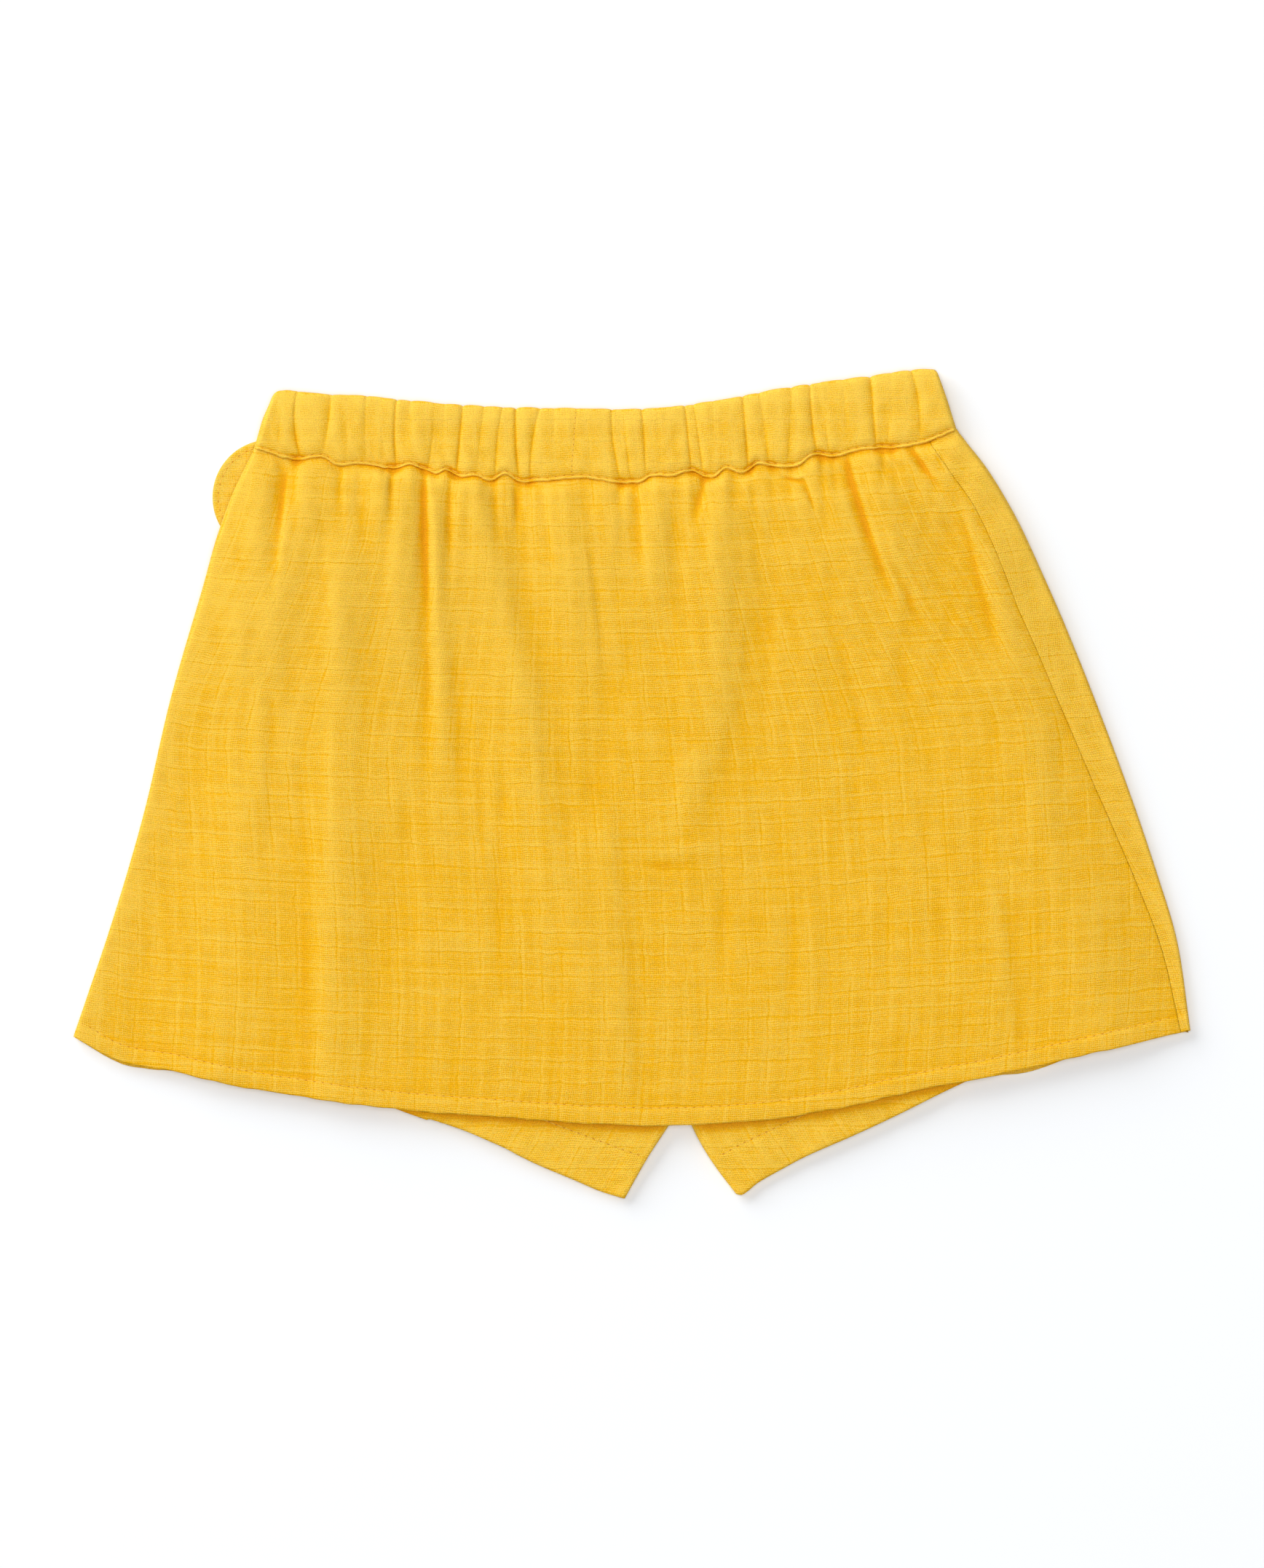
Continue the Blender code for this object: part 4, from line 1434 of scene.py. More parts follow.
@dataclass
class SkirtPanel:
    """A panel of the skirt, with its crinkle, its hem and its seams' edges."""

    cloth: Cloth
    turns: Side  # the side round which it runs on, in a strip, to the garment's other face
    columns: int
    strip_columns: int
    rows: int
    turn_steps: int = 12
    hem_lift: float = 0.3
    hem_groove: float = 0.22
    groove_reach: float = 0.5
    edge_roll: float = 0.12
    edge_reach: float = 1.5
    side_gap: float = 0.06
    seam_drop: float = 0.7  # how far under the waist seam it starts
    seam_puff: float = 3.2  # how far below that it has its full height
    tuck_in: float = 0.35  # how far it runs up into the waistband
    seam_rows: tuple[tuple[float, float], ...] = ((0.05, 0.5), (0.1, 2.2))  # side seam's depth, reach
    hem_flutter: float = 0.25
    gather_yarns: float = 0.32  # yarns that the gathers take up at the waist, for each one shown
    gather_zone: float = 95.0
    grain_follow: float = 0.35
    reliefs: tuple[tuple[float, int, float], ...] = ((0.85, 5, 0.8), (0.35, 16, 2.2))
    seam_shade: tuple[float, float] = (0.01, 0.85)  # painted shade in the seam, where it lies loose, and more in a knot
    side_seam_shade: float = 0.05
    right_shade: float = 0.2  # painted shade: how much darker the right side and the lower part are
    edge_light: float = 0.2  # painted light: how much lighter the cloth is along its side folds
    strip_light: float = 0.1  # and past the right side seam, also painted light
    hem_shade: float = 0.03

    def downs(self) -> Array:
        """Shares of the way down at which the rows lie, closer at both ends."""
        share = np.linspace(0, 1, self.rows + 1)
        return share - 0.085 * np.sin(2 * np.pi * share) - 0.012 * np.sin(4 * np.pi * share)

    def station_rows(self, downs: Array) -> tuple[Array, Array]:
        """Stations of every row: the shares across and the way the wall faces.

        Args:
            downs: shares of the way down of its rows.

        Returns:
            The shares across and the turns, row by row.
        """
        ends = [SHAPE.skirt_plan(np.full_like(downs, share), downs) for share in (0, 1)]
        half_gap = self.side_gap / 2 / np.linalg.norm(ends[1] - ends[0], axis=-1)
        seam = SHAPE.side_seam(downs)
        sign, fold = self.turns.value, float(self.turns is Side.RIGHT)
        rows = []
        for k in range(len(downs)):
            edges = (seam[k] + sign * half_gap[k], LEFT_SEAM + sign * half_gap[k])[::sign]
            strip = self.run(fold, edges[0], self.strip_columns, sign * 90.0)[::-1][:-1]
            face = self.run(fold, edges[1], self.columns, sign * -90.0)[1:]
            rows.append(strip + stations(self.turns, self.turn_steps) + face)
        table = np.array(rows)
        return table[..., 0], table[..., 1]

    @staticmethod
    def run(start: float, end: float, steps: int, turn: float) -> list[tuple[float, float]]:
        """Stations across a flat stretch, both ends included, the last few at a seam's edge.

        Args:
            start: value or place at its start.
            end: value or place at its end.
            steps: how many steps it takes.
            turn: the way the wall faces, 90 up and -90 down.

        Returns:
            The stations from start to end.
        """
        edge = 0.006 / abs(end - start)
        body = [(1 - edge) * k / (steps - 3) for k in range(steps - 2)]
        shares = body + [1 - edge * part for part in (0.55, 0.22, 0)]
        return [(mix(start, end, share), turn) for share in shares]

    def crinkle(self, x: Array, y: Array, below: Array) -> Array:
        """Uneven surface of the gauze, upright near the waist and pillowed further down.

        Args:
            x: places across the garment, in millimetres.
            y: places up the garment, in millimetres.
            below: distance below the waist seam.

        Returns:
            Heights to be added.
        """
        fan = x * (1 - 0.25 * np.exp(-below / 80))
        upright = crinkled(fan, y, (21, 2.4, 24, 0, 0.17), (22, 5.2, 44, 0, 0.3))
        pillow = crinkled(x, y, (23, 2.6, 2.8, 0, 0.04), (24, 7.5, 5.5, 0, 0.05))
        near = np.exp(-np.clip(below, 0, None) / 75)
        return upright * (0.12 + 0.88 * near) + pillow * (1 - 0.4 * near)

    def gathers(self, x: Array, below: Array) -> Array:
        """Small gathers that run out of the waist seam, one from each furrow of the band.

        Args:
            x: places across the garment, in millimetres.
            below: distance below the waist seam.

        Returns:
            Heights to be added, 0 or less.
        """
        found = np.zeros_like(x)
        reach = 0.9 + 0.035 * np.clip(below, 0, 45)
        for k, furrow in enumerate(FURROWS):
            length = 8 + 20 * furrow.at_seam + 6 * math.sin(2.4 * k)
            line = furrow.x_seam * (1 + 0.0008 * below) + 0.04 * math.sin(1.7 * k) * below
            fade = np.exp(-np.clip(below, 0, None) / length)
            found -= (0.06 + 0.44 * furrow.at_seam ** 3) * fade * bell(x - line, reach)
        return found

    def hem(self, lift: Array, from_hem: Array) -> Array:
        """Adds the doubled hem, its stitched groove and its rounded edge.

        Args:
            lift: height of the face.
            from_hem: distance from the hem.

        Returns:
            Height of the face with its hem.
        """
        past_stitches = from_hem - SKIRT_HEM_DEPTH
        lift = lift + self.hem_lift * (1 - ramp(past_stitches, -0.5, 0.7))
        lift = lift - self.hem_groove * bell(past_stitches, self.groove_reach)
        return lift - self.edge_roll * (1 - np.sqrt(np.clip(from_hem / self.edge_reach, 0, 1)))

    def top(self, across: Array, down: Array, x: Array, y: Array) -> Array:
        """Height of the upper face.

        Args:
            across: share of the way from the left fold to the right one.
            down: share of the way from the waist seam to the hem.
            x: places across the garment, in millimetres.
            y: places up the garment, in millimetres.

        Returns:
            Heights in millimetres.
        """
        below = WAIST_SEAM.level(x) - y
        from_hem = (1 - down) * SKIRT_LENGTH
        calm = 0.4 + 0.6 * ramp(from_hem, SKIRT_HEM_DEPTH, SKIRT_HEM_DEPTH + 6)
        gathers = self.gathers(x, below)
        fine = self.crinkle(x, y, below) + gathers
        fine = fine + sum(crease.at(x, y) for crease in CREASES) + sum(d.at(x, y) for d in DENTS)
        air = SHAPE.loft(x, y) + fine * calm
        settled = SHAPE.base(x, y) + 0.5 * (air + np.hypot(air, TROUGH_FLOOR))
        rise = 1 - (1 - np.clip((below + 0.3) / self.seam_puff, 0, 1)) ** 2.2
        start = SHAPE.tab_lift(x, y) + SHAPE.seam_height(x) - self.seam_drop + 0.4 * gathers
        level = mix(start, self.hem(settled, from_hem), rise)
        off = self.off_seam(across, down)
        sunk = sum(depth * bell(off, reach) for depth, reach in self.seam_rows)
        return level - sunk * (across > 0.5)

    @staticmethod
    def off_seam(across: Array, down: Array) -> Array:
        """Distance from the right side seam."""
        return np.abs(across - SHAPE.side_seam(down)) * mix(*SKIRT_WIDTHS, down)

    def under(self, x: Array, y: Array) -> Array:
        """Height of the under face, which lifts into the waistband at the seam."""
        below = WAIST_SEAM.level(x) - y
        return SHAPE.tab_lift(x, y) + SHAPE.under_lift(x, y) + 1.2 * (1 - ramp(below, -0.4, 2.2))

    def build(self) -> bpy.types.Object:
        """Builds the panel.

        Returns:
            The piece.
        """
        downs = self.downs()
        across, turn = self.station_rows(downs)
        down = downs[:, None] + 0 * across
        x, y, z = SHAPE.ring(
            lambda share: SHAPE.skirt_plan(share, down),
            lambda share, x, y: self.top(share, down, x, y), self.under, across, turn,
        )
        below = WAIST_SEAM.level(x) - y
        y = y + self.tuck_in * (1 - ramp(below, 0, 0.8)) + SHAPE.seam_shift(x, below)
        drops = sum(p.drop * bell(x - p.x, p.reach) for p in PEEKS)
        y = y - np.where(turn < 0, down ** 4 * drops, 0)
        y = y + down ** 8 * self.hem_flutter * Crinkle(25, 4.5, 50).at(x, y)
        centre = across.shape[1] // 2
        u = yarn_lengths(x, y, z, centre) * (1 + self.gather_yarns * (1 - ramp(below, 0, self.gather_zone)))
        v = mix(y, y[:, centre:centre + 1], self.grain_follow)
        # The relief, with painted shade in hollows and seams and painted light along the folds.
        relief_shade = sum(strength * relief_of(z, reach, scale) for strength, reach, scale in self.reliefs)
        relief_shade = (relief_shade - self.shade(across, down, x, below)) * (turn > FACES_UP)
        return dress(self.cloth, loft((x, y, z, u, v, relief_shade), flip=True), WALL)

    def shade(self, across: Array, down: Array, x: Array, below: Array) -> Array:
        """How much painted shade darkens the face in its seams and to the lower right, and painted light
        along its folds.

        Args:
            across: share of the way from the left fold to the right one.
            down: share of the way from the waist seam to the hem.
            x: places across the garment, in millimetres.
            below: distance below the waist seam.

        Returns:
            What comes off the relief: painted shade, less painted light.
        """
        drawn = SHAPE.knots(x)
        loose, tight = self.seam_shade
        shade = (loose + tight * drawn) * bell(below, 0.7 + 1.6 * drawn)
        shade = shade + self.side_seam_shade * bell(self.off_seam(across, down), 0.6) * (across > 0.5)
        shade = shade + self.right_shade * ramp(below + 0.7 * x, 0, 90)
        off_fold = np.minimum(across, 1 - across) * mix(*SKIRT_WIDTHS, down)
        past_seam = across > SHAPE.side_seam(down)
        shade = shade - self.edge_light * bell(off_fold, 3.6) - self.strip_light * past_seam
        return shade + self.hem_shade * bell((1 - down) * SKIRT_LENGTH - SKIRT_HEM_DEPTH, 0.5)


@dataclass
class ShortsLeg:
    """A leg of the shorts: folded at its outer side, and a tube below the crotch."""

    cloth: Cloth
    cut: LegCut
    rise_rows: int = 26
    hem_rows: int = 40
    top_columns: int = 120
    under_columns: int = 50
    turn_steps: int = 8
    hem_lift: float = 0.15
    hem_groove: float = 0.14
    edge_roll: float = 0.15
    hem_shadow: tuple[float, float] = (0.9, 2.4)  # painted shadow under the skirt's hem: its strength and reach

    def rows(self) -> tuple[Array, Array]:
        """Rows down the leg: shares of the rise and of the inseam.

        Returns:
            The two shares of each row.
        """
        rise = np.linspace(0, 1, self.rise_rows + 1)
        hem = np.linspace(0, 1, self.hem_rows + 1)[1:]
        return np.concatenate([rise, np.ones(self.hem_rows)]), np.concatenate([0 * rise, hem])

    def station_table(self) -> list[tuple[float, float]]:
        """Stations (across, turn): over the top, round the outer fold, back, and the inseam.

        Returns:
            The stations, in order.
        """
        top = [(k / self.top_columns, 90.0) for k in range(self.top_columns)]
        under = [(1 - k / self.under_columns, -90.0) for k in range(1, self.under_columns + 1)]
        inseam = [(0.0, turn) for _, turn in stations(Side.LEFT, self.turn_steps)][1:]
        return top + stations(Side.RIGHT, self.turn_steps) + under + inseam

    def low(self, x: Array, y: Array) -> Array:
        """Underside of the leg: on the skirt's front panel, and down on the table past its hem."""
        past_hem = SKIRT_HEM.level(x) - y
        return self.rest(x, y) + SHAPE.under_lift(x, y) * (1 - ramp(past_hem, 0, 6))

    @staticmethod
    def rest(x: Array, y: Array) -> Array:
        """Height of what the leg rests on, the table past the skirt's hem."""
        past_hem = SKIRT_HEM.level(x) - y
        return LEG_LEVEL * (1 - ramp(past_hem, *LEG_DROP)) + SHAPE.tab_lift(x, y, 1)

    def top(self, x: Array, y: Array, from_hem: Array) -> Array:
        """Top of the leg, with crinkle and its hem.

        Args:
            x: places across the garment, in millimetres.
            y: places up the garment, in millimetres.
            from_hem: distance from the hem.

        Returns:
            Heights in millimetres.
        """
        soft = crinkled(x, y, (31, 3.0, 3.0, 0, 0.12), (32, 7, 11, 0, 0.35))
        level = self.rest(x, y) + LEG_LOFT + soft * ramp(SKIRT_HEM.level(x) - y, -3, 4)
        past_stitches = from_hem - LEG_HEM_DEPTH
        level = level - self.hem_groove * bell(past_stitches, 0.5)
        level = level + self.hem_lift * (1 - ramp(past_stitches, -1, 1))
        return level - self.edge_roll * (1 - np.sqrt(np.clip(from_hem / 1.4, 0, 1)))

    def plan(self, rise: Array, inseam: Array, across: Array, turn: Array) -> tuple[Array, ...]:
        """Plan of the leg.

        Args:
            rise: share of the way down from the waist to the crotch.
            inseam: share of the way down from there to the hem.
            across: share of the way from the inseam to the outer fold.
            turn: the way the wall faces.

        Returns:
            The x and y of the points and their shares of the leg's width.
        """
        r, i = rise[..., None], inseam[..., None]
        cut = self.cut
        centre = mix(mix(np.array(SHORTS_CENTRE), np.array(CROTCH), r), np.array(cut.tip), i)
        outer = mix(np.array(cut.outer_waist), np.array(cut.outer_crotch), r)
        outer = mix(outer, np.array(cut.outer_hem), i)
        width = np.linalg.norm(outer - centre, axis=-1)
        half = LEG_LOFT / 2
        radius = half * (1 - np.cos(np.radians(turn)))
        tuck = np.where(across == 1, radius, half)
        closed = np.where(across == 0, radius, half)
        inner = mix(SEAM_GAP / 2, closed, ramp(inseam, 0, CROTCH_CLOSES))
        share = (inner + across * (width - tuck - inner)) / width
        spot = mix(centre, outer, share[..., None])
        y = spot[..., 1] + cut.hem_wave.level(share) * inseam ** 2
        bow = cut.inseam_bow * np.sin(math.pi * inseam) * np.clip(1 - share * width / 9, 0, 1)
        x = spot[..., 0] - cut.side.value * bow
        return x, np.where(rise == 0, WAIST_SEAM.level(x) - SHORTS_SHORT_OF_SEAM, y), share

    def build(self) -> bpy.types.Object:
        """Builds the leg.

        Returns:
            The piece.
        """
        rises, inseams = self.rows()
        table = np.array(self.station_table())
        across, turn = np.broadcast_to(table[:, 0], (len(rises), len(table))), table[:, 1]
        rise, inseam = (shares[:, None] + 0 * across for shares in (rises, inseams))
        x, y, share = self.plan(rise, inseam, across, turn)
        from_hem = (1 - inseam) * (1 - share) * LEG_INSEAM + (1 - inseam) * share * LEG_OUTSEAM
        from_hem = from_hem + (1 - rise) * LEG_RISE
        low, high = self.low(x, y), self.top(x, y, from_hem)
        z = np.maximum(mix(low, high, (1 + np.sin(np.radians(turn))) / 2), 0)
        past_hem = np.clip(SKIRT_HEM.level(x) - y, 0, None)
        strength, reach = self.hem_shadow
        # Painted shadow under the skirt's hem, and painted shade along the hem's stitch line.
        shade = strength * bell(past_hem, reach) + 0.05 * bell(from_hem - LEG_HEM_DEPTH, 0.5)
        relief_shade = (relief_of(z, 4, 0.9) - shade) * (turn > FACES_UP)
        u = yarn_lengths(x, y, z, 0)
        above_crotch = (len(table) - 1 - self.turn_steps, self.rise_rows)
        mesh = loft((x, y, z, u, y, relief_shade), self.cut.side is Side.RIGHT, above_crotch)
        return dress(self.cloth, mesh, WALL)


@dataclass
class SideTab:
    """The round tab: two layers turned out, with a rounded edge and edge stitching."""

    cloth: Cloth
    arc_steps: int = 120
    rings: int = 26
    edge_radius: float = 0.8
    groove: float = 0.22
    groove_reach: float = 0.45

    def build(self) -> bpy.types.Object:
        """Builds the tab as a flat pillow.

        Returns:
            The piece.
        """
        root = math.acos(TAB_ROOT / TAB_RADIUS)
        row, column = np.mgrid[0:self.rings + 1, 0:self.arc_steps + 1]
        # Rows run from the middle of the top, over the edge, to the middle underneath.
        angle = mix(root, 2 * math.pi - root, column / self.arc_steps)
        share = row / self.rings
        reach = np.sin((1 - np.abs(2 * share - 1)) * math.pi / 2) ** 0.9
        x = mix(TAB_CENTRE[0] + TAB_ROOT, TAB_CENTRE[0] + TAB_RADIUS * np.cos(angle), reach)
        y = mix(TAB_CENTRE[1], TAB_CENTRE[1] + TAB_RADIUS * np.sin(angle), reach)
        inward = TAB_RADIUS - np.hypot(x - TAB_CENTRE[0], y - TAB_CENTRE[1])
        past = np.clip(1 - inward / self.edge_radius, 0, 1)
        half = 0.5 * TAB_WALL * np.sqrt(np.clip(1 - past ** 2, 0, 1))
        groove = self.groove * bell(inward - TAB_STITCH_IN, self.groove_reach)
        top = TAB_WALL / 2 + half - groove + 0.05 * Crinkle(51, 3, 3).at(x, y)
        z = np.where(share <= 0.5, top, TAB_WALL / 2 - half)
        mesh = loft((x, y, z, x, y, 0 * x), flip=True)
        shell = bmesh.new()
        shell.from_mesh(mesh)
        open_edges = [edge for edge in shell.edges if edge.is_boundary]
        bmesh.ops.holes_fill(shell, edges=open_edges)
        bmesh.ops.recalc_face_normals(shell, faces=shell.faces)
        shell.to_mesh(mesh)
        shell.free()
        mesh.shade_smooth()
        return dress(self.cloth, mesh)


# --- Stitching ---------------------------------------------------------------------------------------
@dataclass
class StitchRow:
    """One row of machine stitches: thread on the cloth, with painted shade where it goes down."""

    name: str
    slot: str
    path: Array
    pitch: float = 2.6
    hole: float = 0.8
    gap: float = 0.45  # between the thread's beads
    thread_size: tuple[float, float] = (0.34, 0.24)  # across and up
    hole_size: tuple[float, float] = (0.40, 0.16)

    def placed(self) -> tuple[Array, Array]:
        """Even places along the path and the way it runs there.

        Returns:
            The places and the ways.
        """
        steps = np.linalg.norm(np.diff(self.path, axis=0), axis=1)
        length = np.concatenate([[0.0], np.cumsum(steps)])
        count = max(2, int(round(length[-1] / self.pitch)))
        marks = np.linspace(0, length[-1], 2 * count + 1)
        points = np.stack([np.interp(marks, length, self.path[:, k]) for k in range(3)], 1)
        ways = np.gradient(points, axis=0)
        return points, ways / np.linalg.norm(ways, axis=1, keepdims=True)

    @staticmethod
    def bead(length: float, width: float, height: float, pit: float) -> bpy.types.Mesh:
        """A long bead of thread, lying along X.

        Args:
            length: length in millimetres.
            width: width in millimetres.
            height: height in millimetres.
            pit: how deep it dives in the cloth, 0 to 1, and so how much painted shade it gets.

        Returns:
            The mesh, marked with how deep it dives.
        """
        shape = bmesh.new()
        bmesh.ops.create_uvsphere(shape, u_segments=8, v_segments=6, radius=0.5)
        bmesh.ops.rotate(shape, verts=shape.verts, matrix=Matrix.Rotation(math.pi / 2, 3, "Y"))
        bmesh.ops.scale(shape, verts=shape.verts, vec=(length * MM, width * MM, height * MM))
        mesh = bpy.data.meshes.new("bead")
        shape.to_mesh(mesh)
        shape.free()
        marks = mesh.attributes.new(PIT, "FLOAT", "POINT")
        marks.data.foreach_set("value", np.full(len(mesh.vertices), pit, np.float32))
        return mesh

    def build(self, material: bpy.types.Material) -> bpy.types.Object:
        """Builds the row as one mesh.

        Args:
            material: the thread's material.

        Returns:
            The row.
        """
        points, ways = self.placed()
        thread = self.bead(self.pitch - self.gap, *self.thread_size, 0.0)
        # Painted shade: a dark bead lies where the thread goes down in its hole.
        hole = self.bead(self.hole, *self.hole_size, 1.0)
        row = bmesh.new()
        for k, (point, way) in enumerate(zip(points, ways)):
            bead = thread if k % 2 else hole
            start = len(row.verts)
            row.from_mesh(bead)
            row.verts.ensure_lookup_table()
            turned = Vector(way).to_track_quat("X", "Z").to_matrix().to_4x4()
            bmesh.ops.transform(
                row, matrix=Matrix.Translation(Vector(point) * MM) @ turned, verts=row.verts[start:]
            )
        mesh = bpy.data.meshes.new(self.name)
        row.to_mesh(mesh)
        row.free()
        for bead in (thread, hole):
            bpy.data.meshes.remove(bead)
        mesh.shade_smooth()
        mesh.materials.append(material)
        piece = stand(self.name, mesh)
        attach(piece, BODY)
        return piece


@dataclass
class Stitching:
    """All the rows of stitches, laid on the finished cloth."""

    pieces: dict[str, bpy.types.Object]
    sink: float = 0.03
    eye: float = 50.0  # the height from which the rows are laid
    join_x: tuple[float, float] = (-18.4, -16.8)  # the band's join, at the seam and at the rim
    join_y: tuple[float, float] = (92.0, 113.4)

    def laid(self, piece: bpy.types.Object, xy: Array, face: Face) -> Array:
        """Lays plan points on the outer face of a piece.

        Args:
            piece: the cloth.
            xy: plan points in millimetres.
            face: the face that they lie on, seen from above or from below.

        Returns:
            The points that meet cloth, with their heights.
        """
        sign = face.value
        seen = piece.evaluated_get(bpy.context.evaluated_depsgraph_get())
        found = []
        for x, y in xy:
            origin = Vector((x, y, sign * self.eye)) * MM
            hit, spot, _, _ = seen.ray_cast(origin, Vector((0, 0, -sign)))
            if hit:
                found.append((x, y, spot.z / MM - sign * self.sink))
        return np.array(found)

    def rows(self) -> list[StitchRow]:
        """Every row of stitches on the garment.

        Returns:
            The rows, ready to be built.
        """
        seam = SHAPE.band_plan(np.linspace(0.012, 0.988, 400), BAND_STITCH_UP / BAND_HEIGHT)
        seam[:, 1] += SHAPE.seam_shift(seam[:, 0], 0.0)
        join = np.stack([mix(*ends, np.linspace(0.1, 0.93, 60)) for ends in (self.join_x, self.join_y)], 1)
        hem = 1 - SKIRT_HEM_DEPTH / SKIRT_LENGTH
        top_hem = SHAPE.skirt_plan(np.linspace(0.012, 0.982, 500), hem)
        low_hem = SHAPE.skirt_plan(np.linspace(0.062, 0.985, 500), hem)
        legs = [(cut, self.leg_line(cut)) for cut in (LEFT_LEG, RIGHT_LEG)]
        leg_stitch = {"pitch": 2.4, "hole": 0.95}
        plans = [
            ("waist_stitches_back", "gauze_waistband", "waistband", seam, Face.TOP, {}),
            ("waist_stitches_front", "gauze_waistband", "waistband", seam, Face.UNDER, {}),
            ("band_join_stitches", "gauze_waistband", "waistband", join, Face.TOP,
             {"pitch": 1.7, "hole": 0.5}),
            ("hem_stitches_back", "gauze_skirt", "skirt_back", top_hem, Face.TOP, {}),
            ("hem_stitches_front", "gauze_skirt", "skirt_front", low_hem, Face.UNDER, {}),
            *((f"{cut.node}_stitches_{tag}", "gauze_shorts", cut.node, line, face, leg_stitch)
              for cut, line in legs for face, tag in ((Face.TOP, "back"), (Face.UNDER, "front"))),
            ("tab_stitches", "gauze_tab", "side_tab", self.tab_arc(), Face.TOP, {}),
        ]
        return [
            StitchRow(name, slot, self.laid(self.pieces[node], line, face), **sizes)
            for name, slot, node, line, face, sizes in plans
        ]

    @staticmethod
    def tab_arc() -> Array:
        """Plan of the tab's edge stitching.

        Returns:
            Points of the plan.
        """
        root = math.acos(TAB_ROOT / TAB_RADIUS) + 0.12
        angle = np.linspace(root, 2 * math.pi - root, 200)
        radius = TAB_RADIUS - TAB_STITCH_IN
        return np.stack([TAB_CENTRE[0] + radius * np.cos(angle), TAB_CENTRE[1] + radius * np.sin(angle)], 1)

    @staticmethod
    def leg_line(cut: LegCut) -> Array:
        """Plan of a leg's hem stitching.

        Args:
            cut: the leg's plan.

        Returns:
            Points of the plan.
        """
        share = np.linspace(0.03, 0.97, 300)[:, None]
        inseam = 1 - LEG_HEM_DEPTH / LEG_INSEAM * (1 - share) - LEG_HEM_DEPTH / LEG_OUTSEAM * share
        centre = mix(np.array(CROTCH), np.array(cut.tip), inseam)
        outer = mix(np.array(cut.outer_crotch), np.array(cut.outer_hem), inseam)
        line = mix(centre, outer, share)
        line[:, 1] += cut.hem_wave.level(share[:, 0]) * inseam[:, 0] ** 2
        return line

    def build(self) -> list[bpy.types.Object]:
        """Builds every row."""
        material = THREAD.material()
        return [row.build(material) for row in self.rows()]


# --- Studio ------------------------------------------------------------------------------------------
class Lamp(NamedTuple):
    """A square panel of light that faces the garment: its watts, width and place in metres."""

    name: str
    power: float
    width: float
    place: tuple[float, float, float]


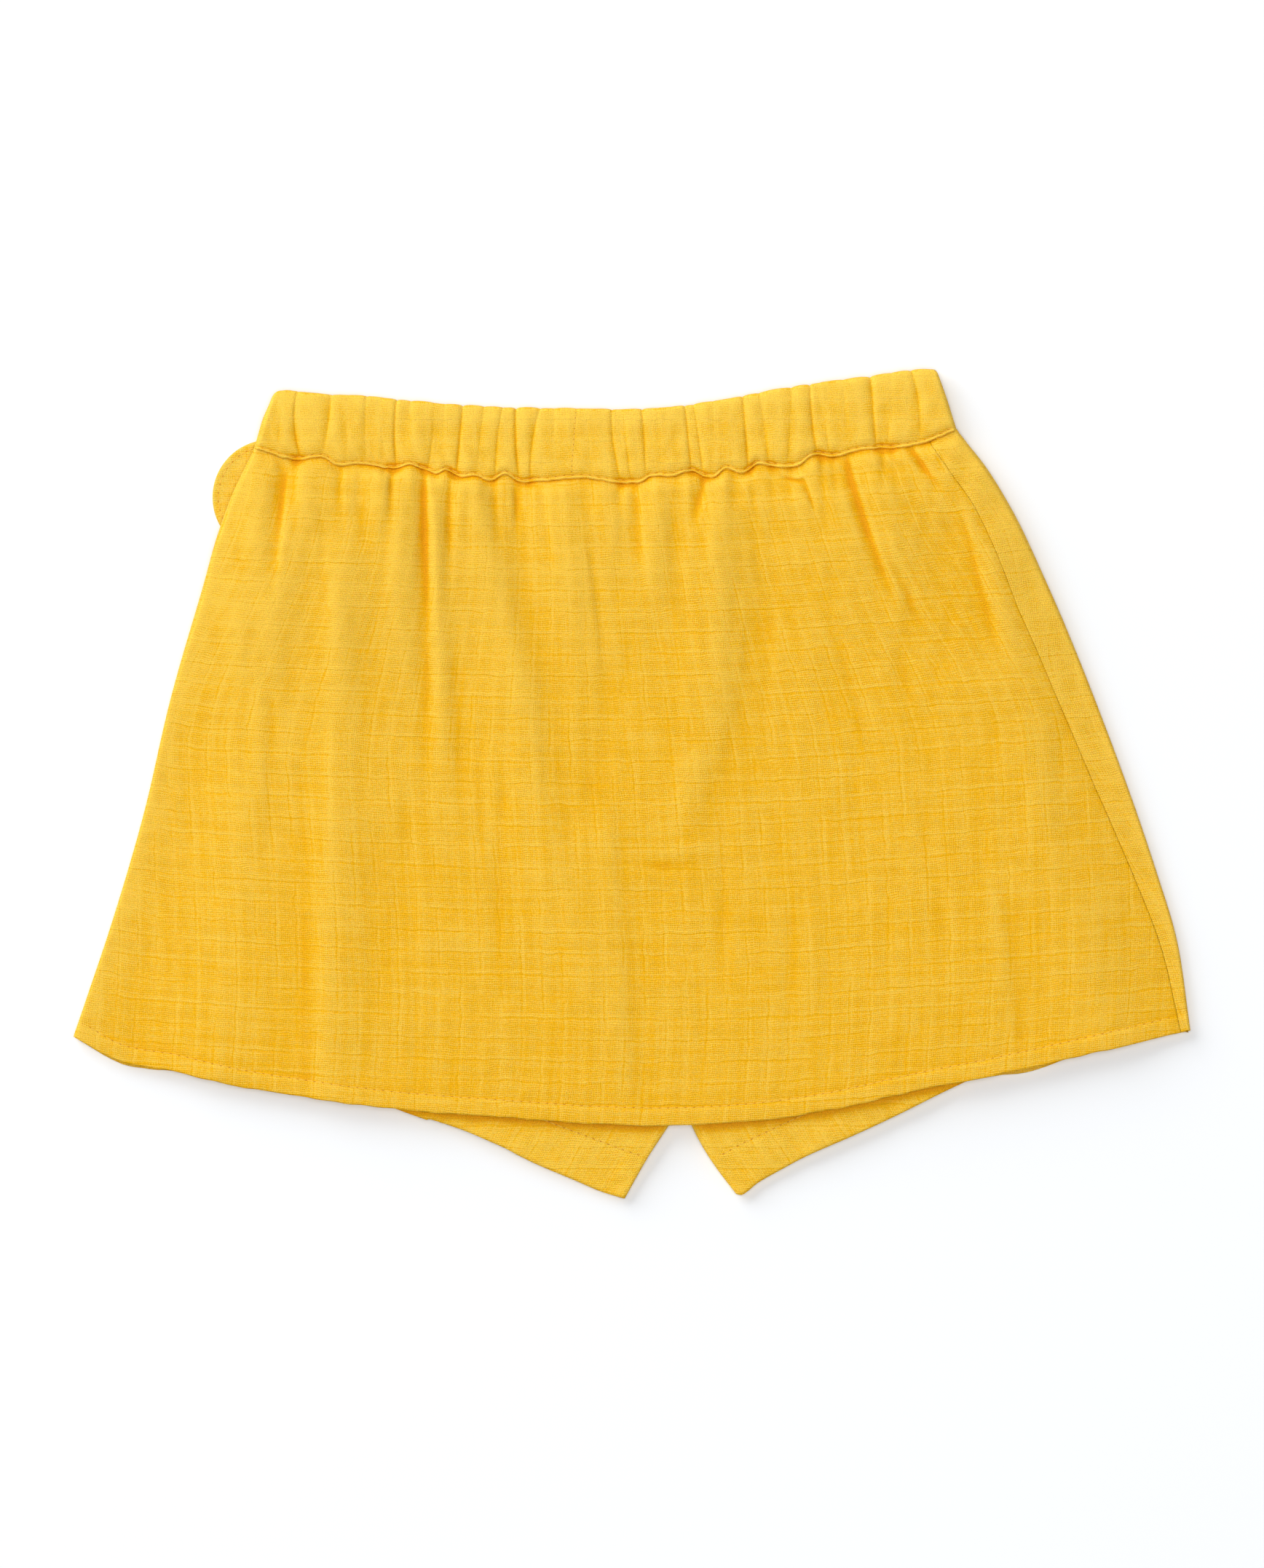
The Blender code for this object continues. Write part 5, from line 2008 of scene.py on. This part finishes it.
@dataclass
class Studio:
    """A white sweep, soft light from above and from the upper left, and a camera overhead."""

    frame_height: int = 2154
    millimetres_a_pixel: float = 0.22
    camera_height: float = 2.0
    sensor: float = 36.0
    floor_size: float = 4.0
    floor_drop: float = 0.2  # millimetres under the garment
    sky: float = 0.22
    lamps: tuple[Lamp, ...] = (
        Lamp("overhead", 50.8, 1.3, (0.05, -0.05, 3.0)), Lamp("window", 250.0, 4.5, (-3.5, 3.2, 2.3)),
    )

    def sweep(self) -> bpy.types.Object:
        """Lays the floor.

        Returns:
            The floor.
        """
        shape = bmesh.new()
        bmesh.ops.create_grid(shape, x_segments=1, y_segments=1, size=self.floor_size)
        bmesh.ops.translate(shape, verts=shape.verts, vec=(0, 0, -self.floor_drop * MM))
        mesh = bpy.data.meshes.new("sweep")
        shape.to_mesh(mesh)
        shape.free()
        mesh.materials.append(PaperFinish().material())
        floor = stand("sweep", mesh)
        return floor

    def lights(self) -> None:
        """Hangs the sky and the panels of light."""
        scene = bpy.context.scene
        scene.world = bpy.data.worlds.new("tent")
        scene.world.use_nodes = True
        sky = scene.world.node_tree.nodes["Background"]
        sky.inputs["Color"].default_value = (1, 1, 1, 1)
        sky.inputs["Strength"].default_value = self.sky
        for name, power, width, place in self.lamps:
            lamp = bpy.data.lights.new(name, "AREA")
            lamp.energy = power
            lamp.size = width
            hung = stand(name, lamp)
            hung.location = place
            hung.rotation_mode = "QUATERNION"
            hung.rotation_quaternion = Vector(place).to_track_quat("Z", "Y")
        scene.view_settings.view_transform = "Standard"

    def camera(self) -> None:
        """Points the camera straight down at the middle of the garment."""
        data = bpy.data.cameras.new("camera")
        reach = self.frame_height * self.millimetres_a_pixel * MM
        data.sensor_fit = "AUTO"
        data.sensor_width = self.sensor
        data.lens = data.sensor_width * self.camera_height / reach
        data.clip_start, data.clip_end = 0.1, 10
        camera = stand("camera", data)
        camera.location = (0, 0, self.camera_height)
        bpy.context.scene.camera = camera

    def build(self) -> None:
        """Builds the studio."""
        self.sweep()
        self.lights()
        self.camera()


def garment() -> dict[str, bpy.types.Object]:
    """Sews the six pieces of cloth.

    Returns:
        The pieces by the names of the nodes that they stand for.
    """
    makers = [
        SkirtPanel(
            Cloth("skirt_front_cloth", "skirt_front", "gauze_skirt", SKIRT_GAUZE, (0.35, 0.205),
                  0.058, Held.LAID),
            Side.RIGHT, columns=150, strip_columns=12, rows=110,
        ),
        SkirtPanel(
            Cloth("skirt_back_cloth", "skirt_back", "gauze_skirt", SKIRT_GAUZE, (0.37, 0.205),
                  0.062, Held.GATHERED, ("shorts_left_leg_cloth", "shorts_right_leg_cloth")),
            Side.LEFT, columns=380, strip_columns=8, rows=118,
        ),
    ]
    for cut, name in ((LEFT_LEG, "shorts_left_leg_cloth"), (RIGHT_LEG, "shorts_right_leg_cloth")):
        makers.append(ShortsLeg(
            Cloth(name, cut.node, "gauze_shorts", SHORTS_GAUZE, (0.26, 0.225), 0.048, Held.LAID,
                  ("skirt_front_cloth",)),
            cut,
        ))
    makers.append(Waistband(Cloth(
        "waistband_cloth", "waistband", "gauze_waistband", BAND_GAUZE, (0.54, 0.025), 0.0132,
        Held.GATHERED,
    )))
    makers.append(SideTab(Cloth(
        "side_tab_cloth", "side_tab", "gauze_tab", TAB_GAUZE, (0.035, 0.035), 0.00085, Held.LAID
    )))
    pieces = {}
    for maker in makers:
        piece = maker.build()
        pieces[maker.cloth.node] = piece
        LOG.info("%s: %d points", piece.name, len(piece.data.vertices))
    return pieces


def main() -> None:
    """Builds the garment, its stitches and the studio."""
    logging.basicConfig(level=logging.INFO, format="%(name)s %(message)s")
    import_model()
    pieces = garment()
    for row in Stitching(pieces).build():
        LOG.info("%s: %d points", row.name, len(row.data.vertices))
    Studio().build()


if __name__ == "__main__":
    main()
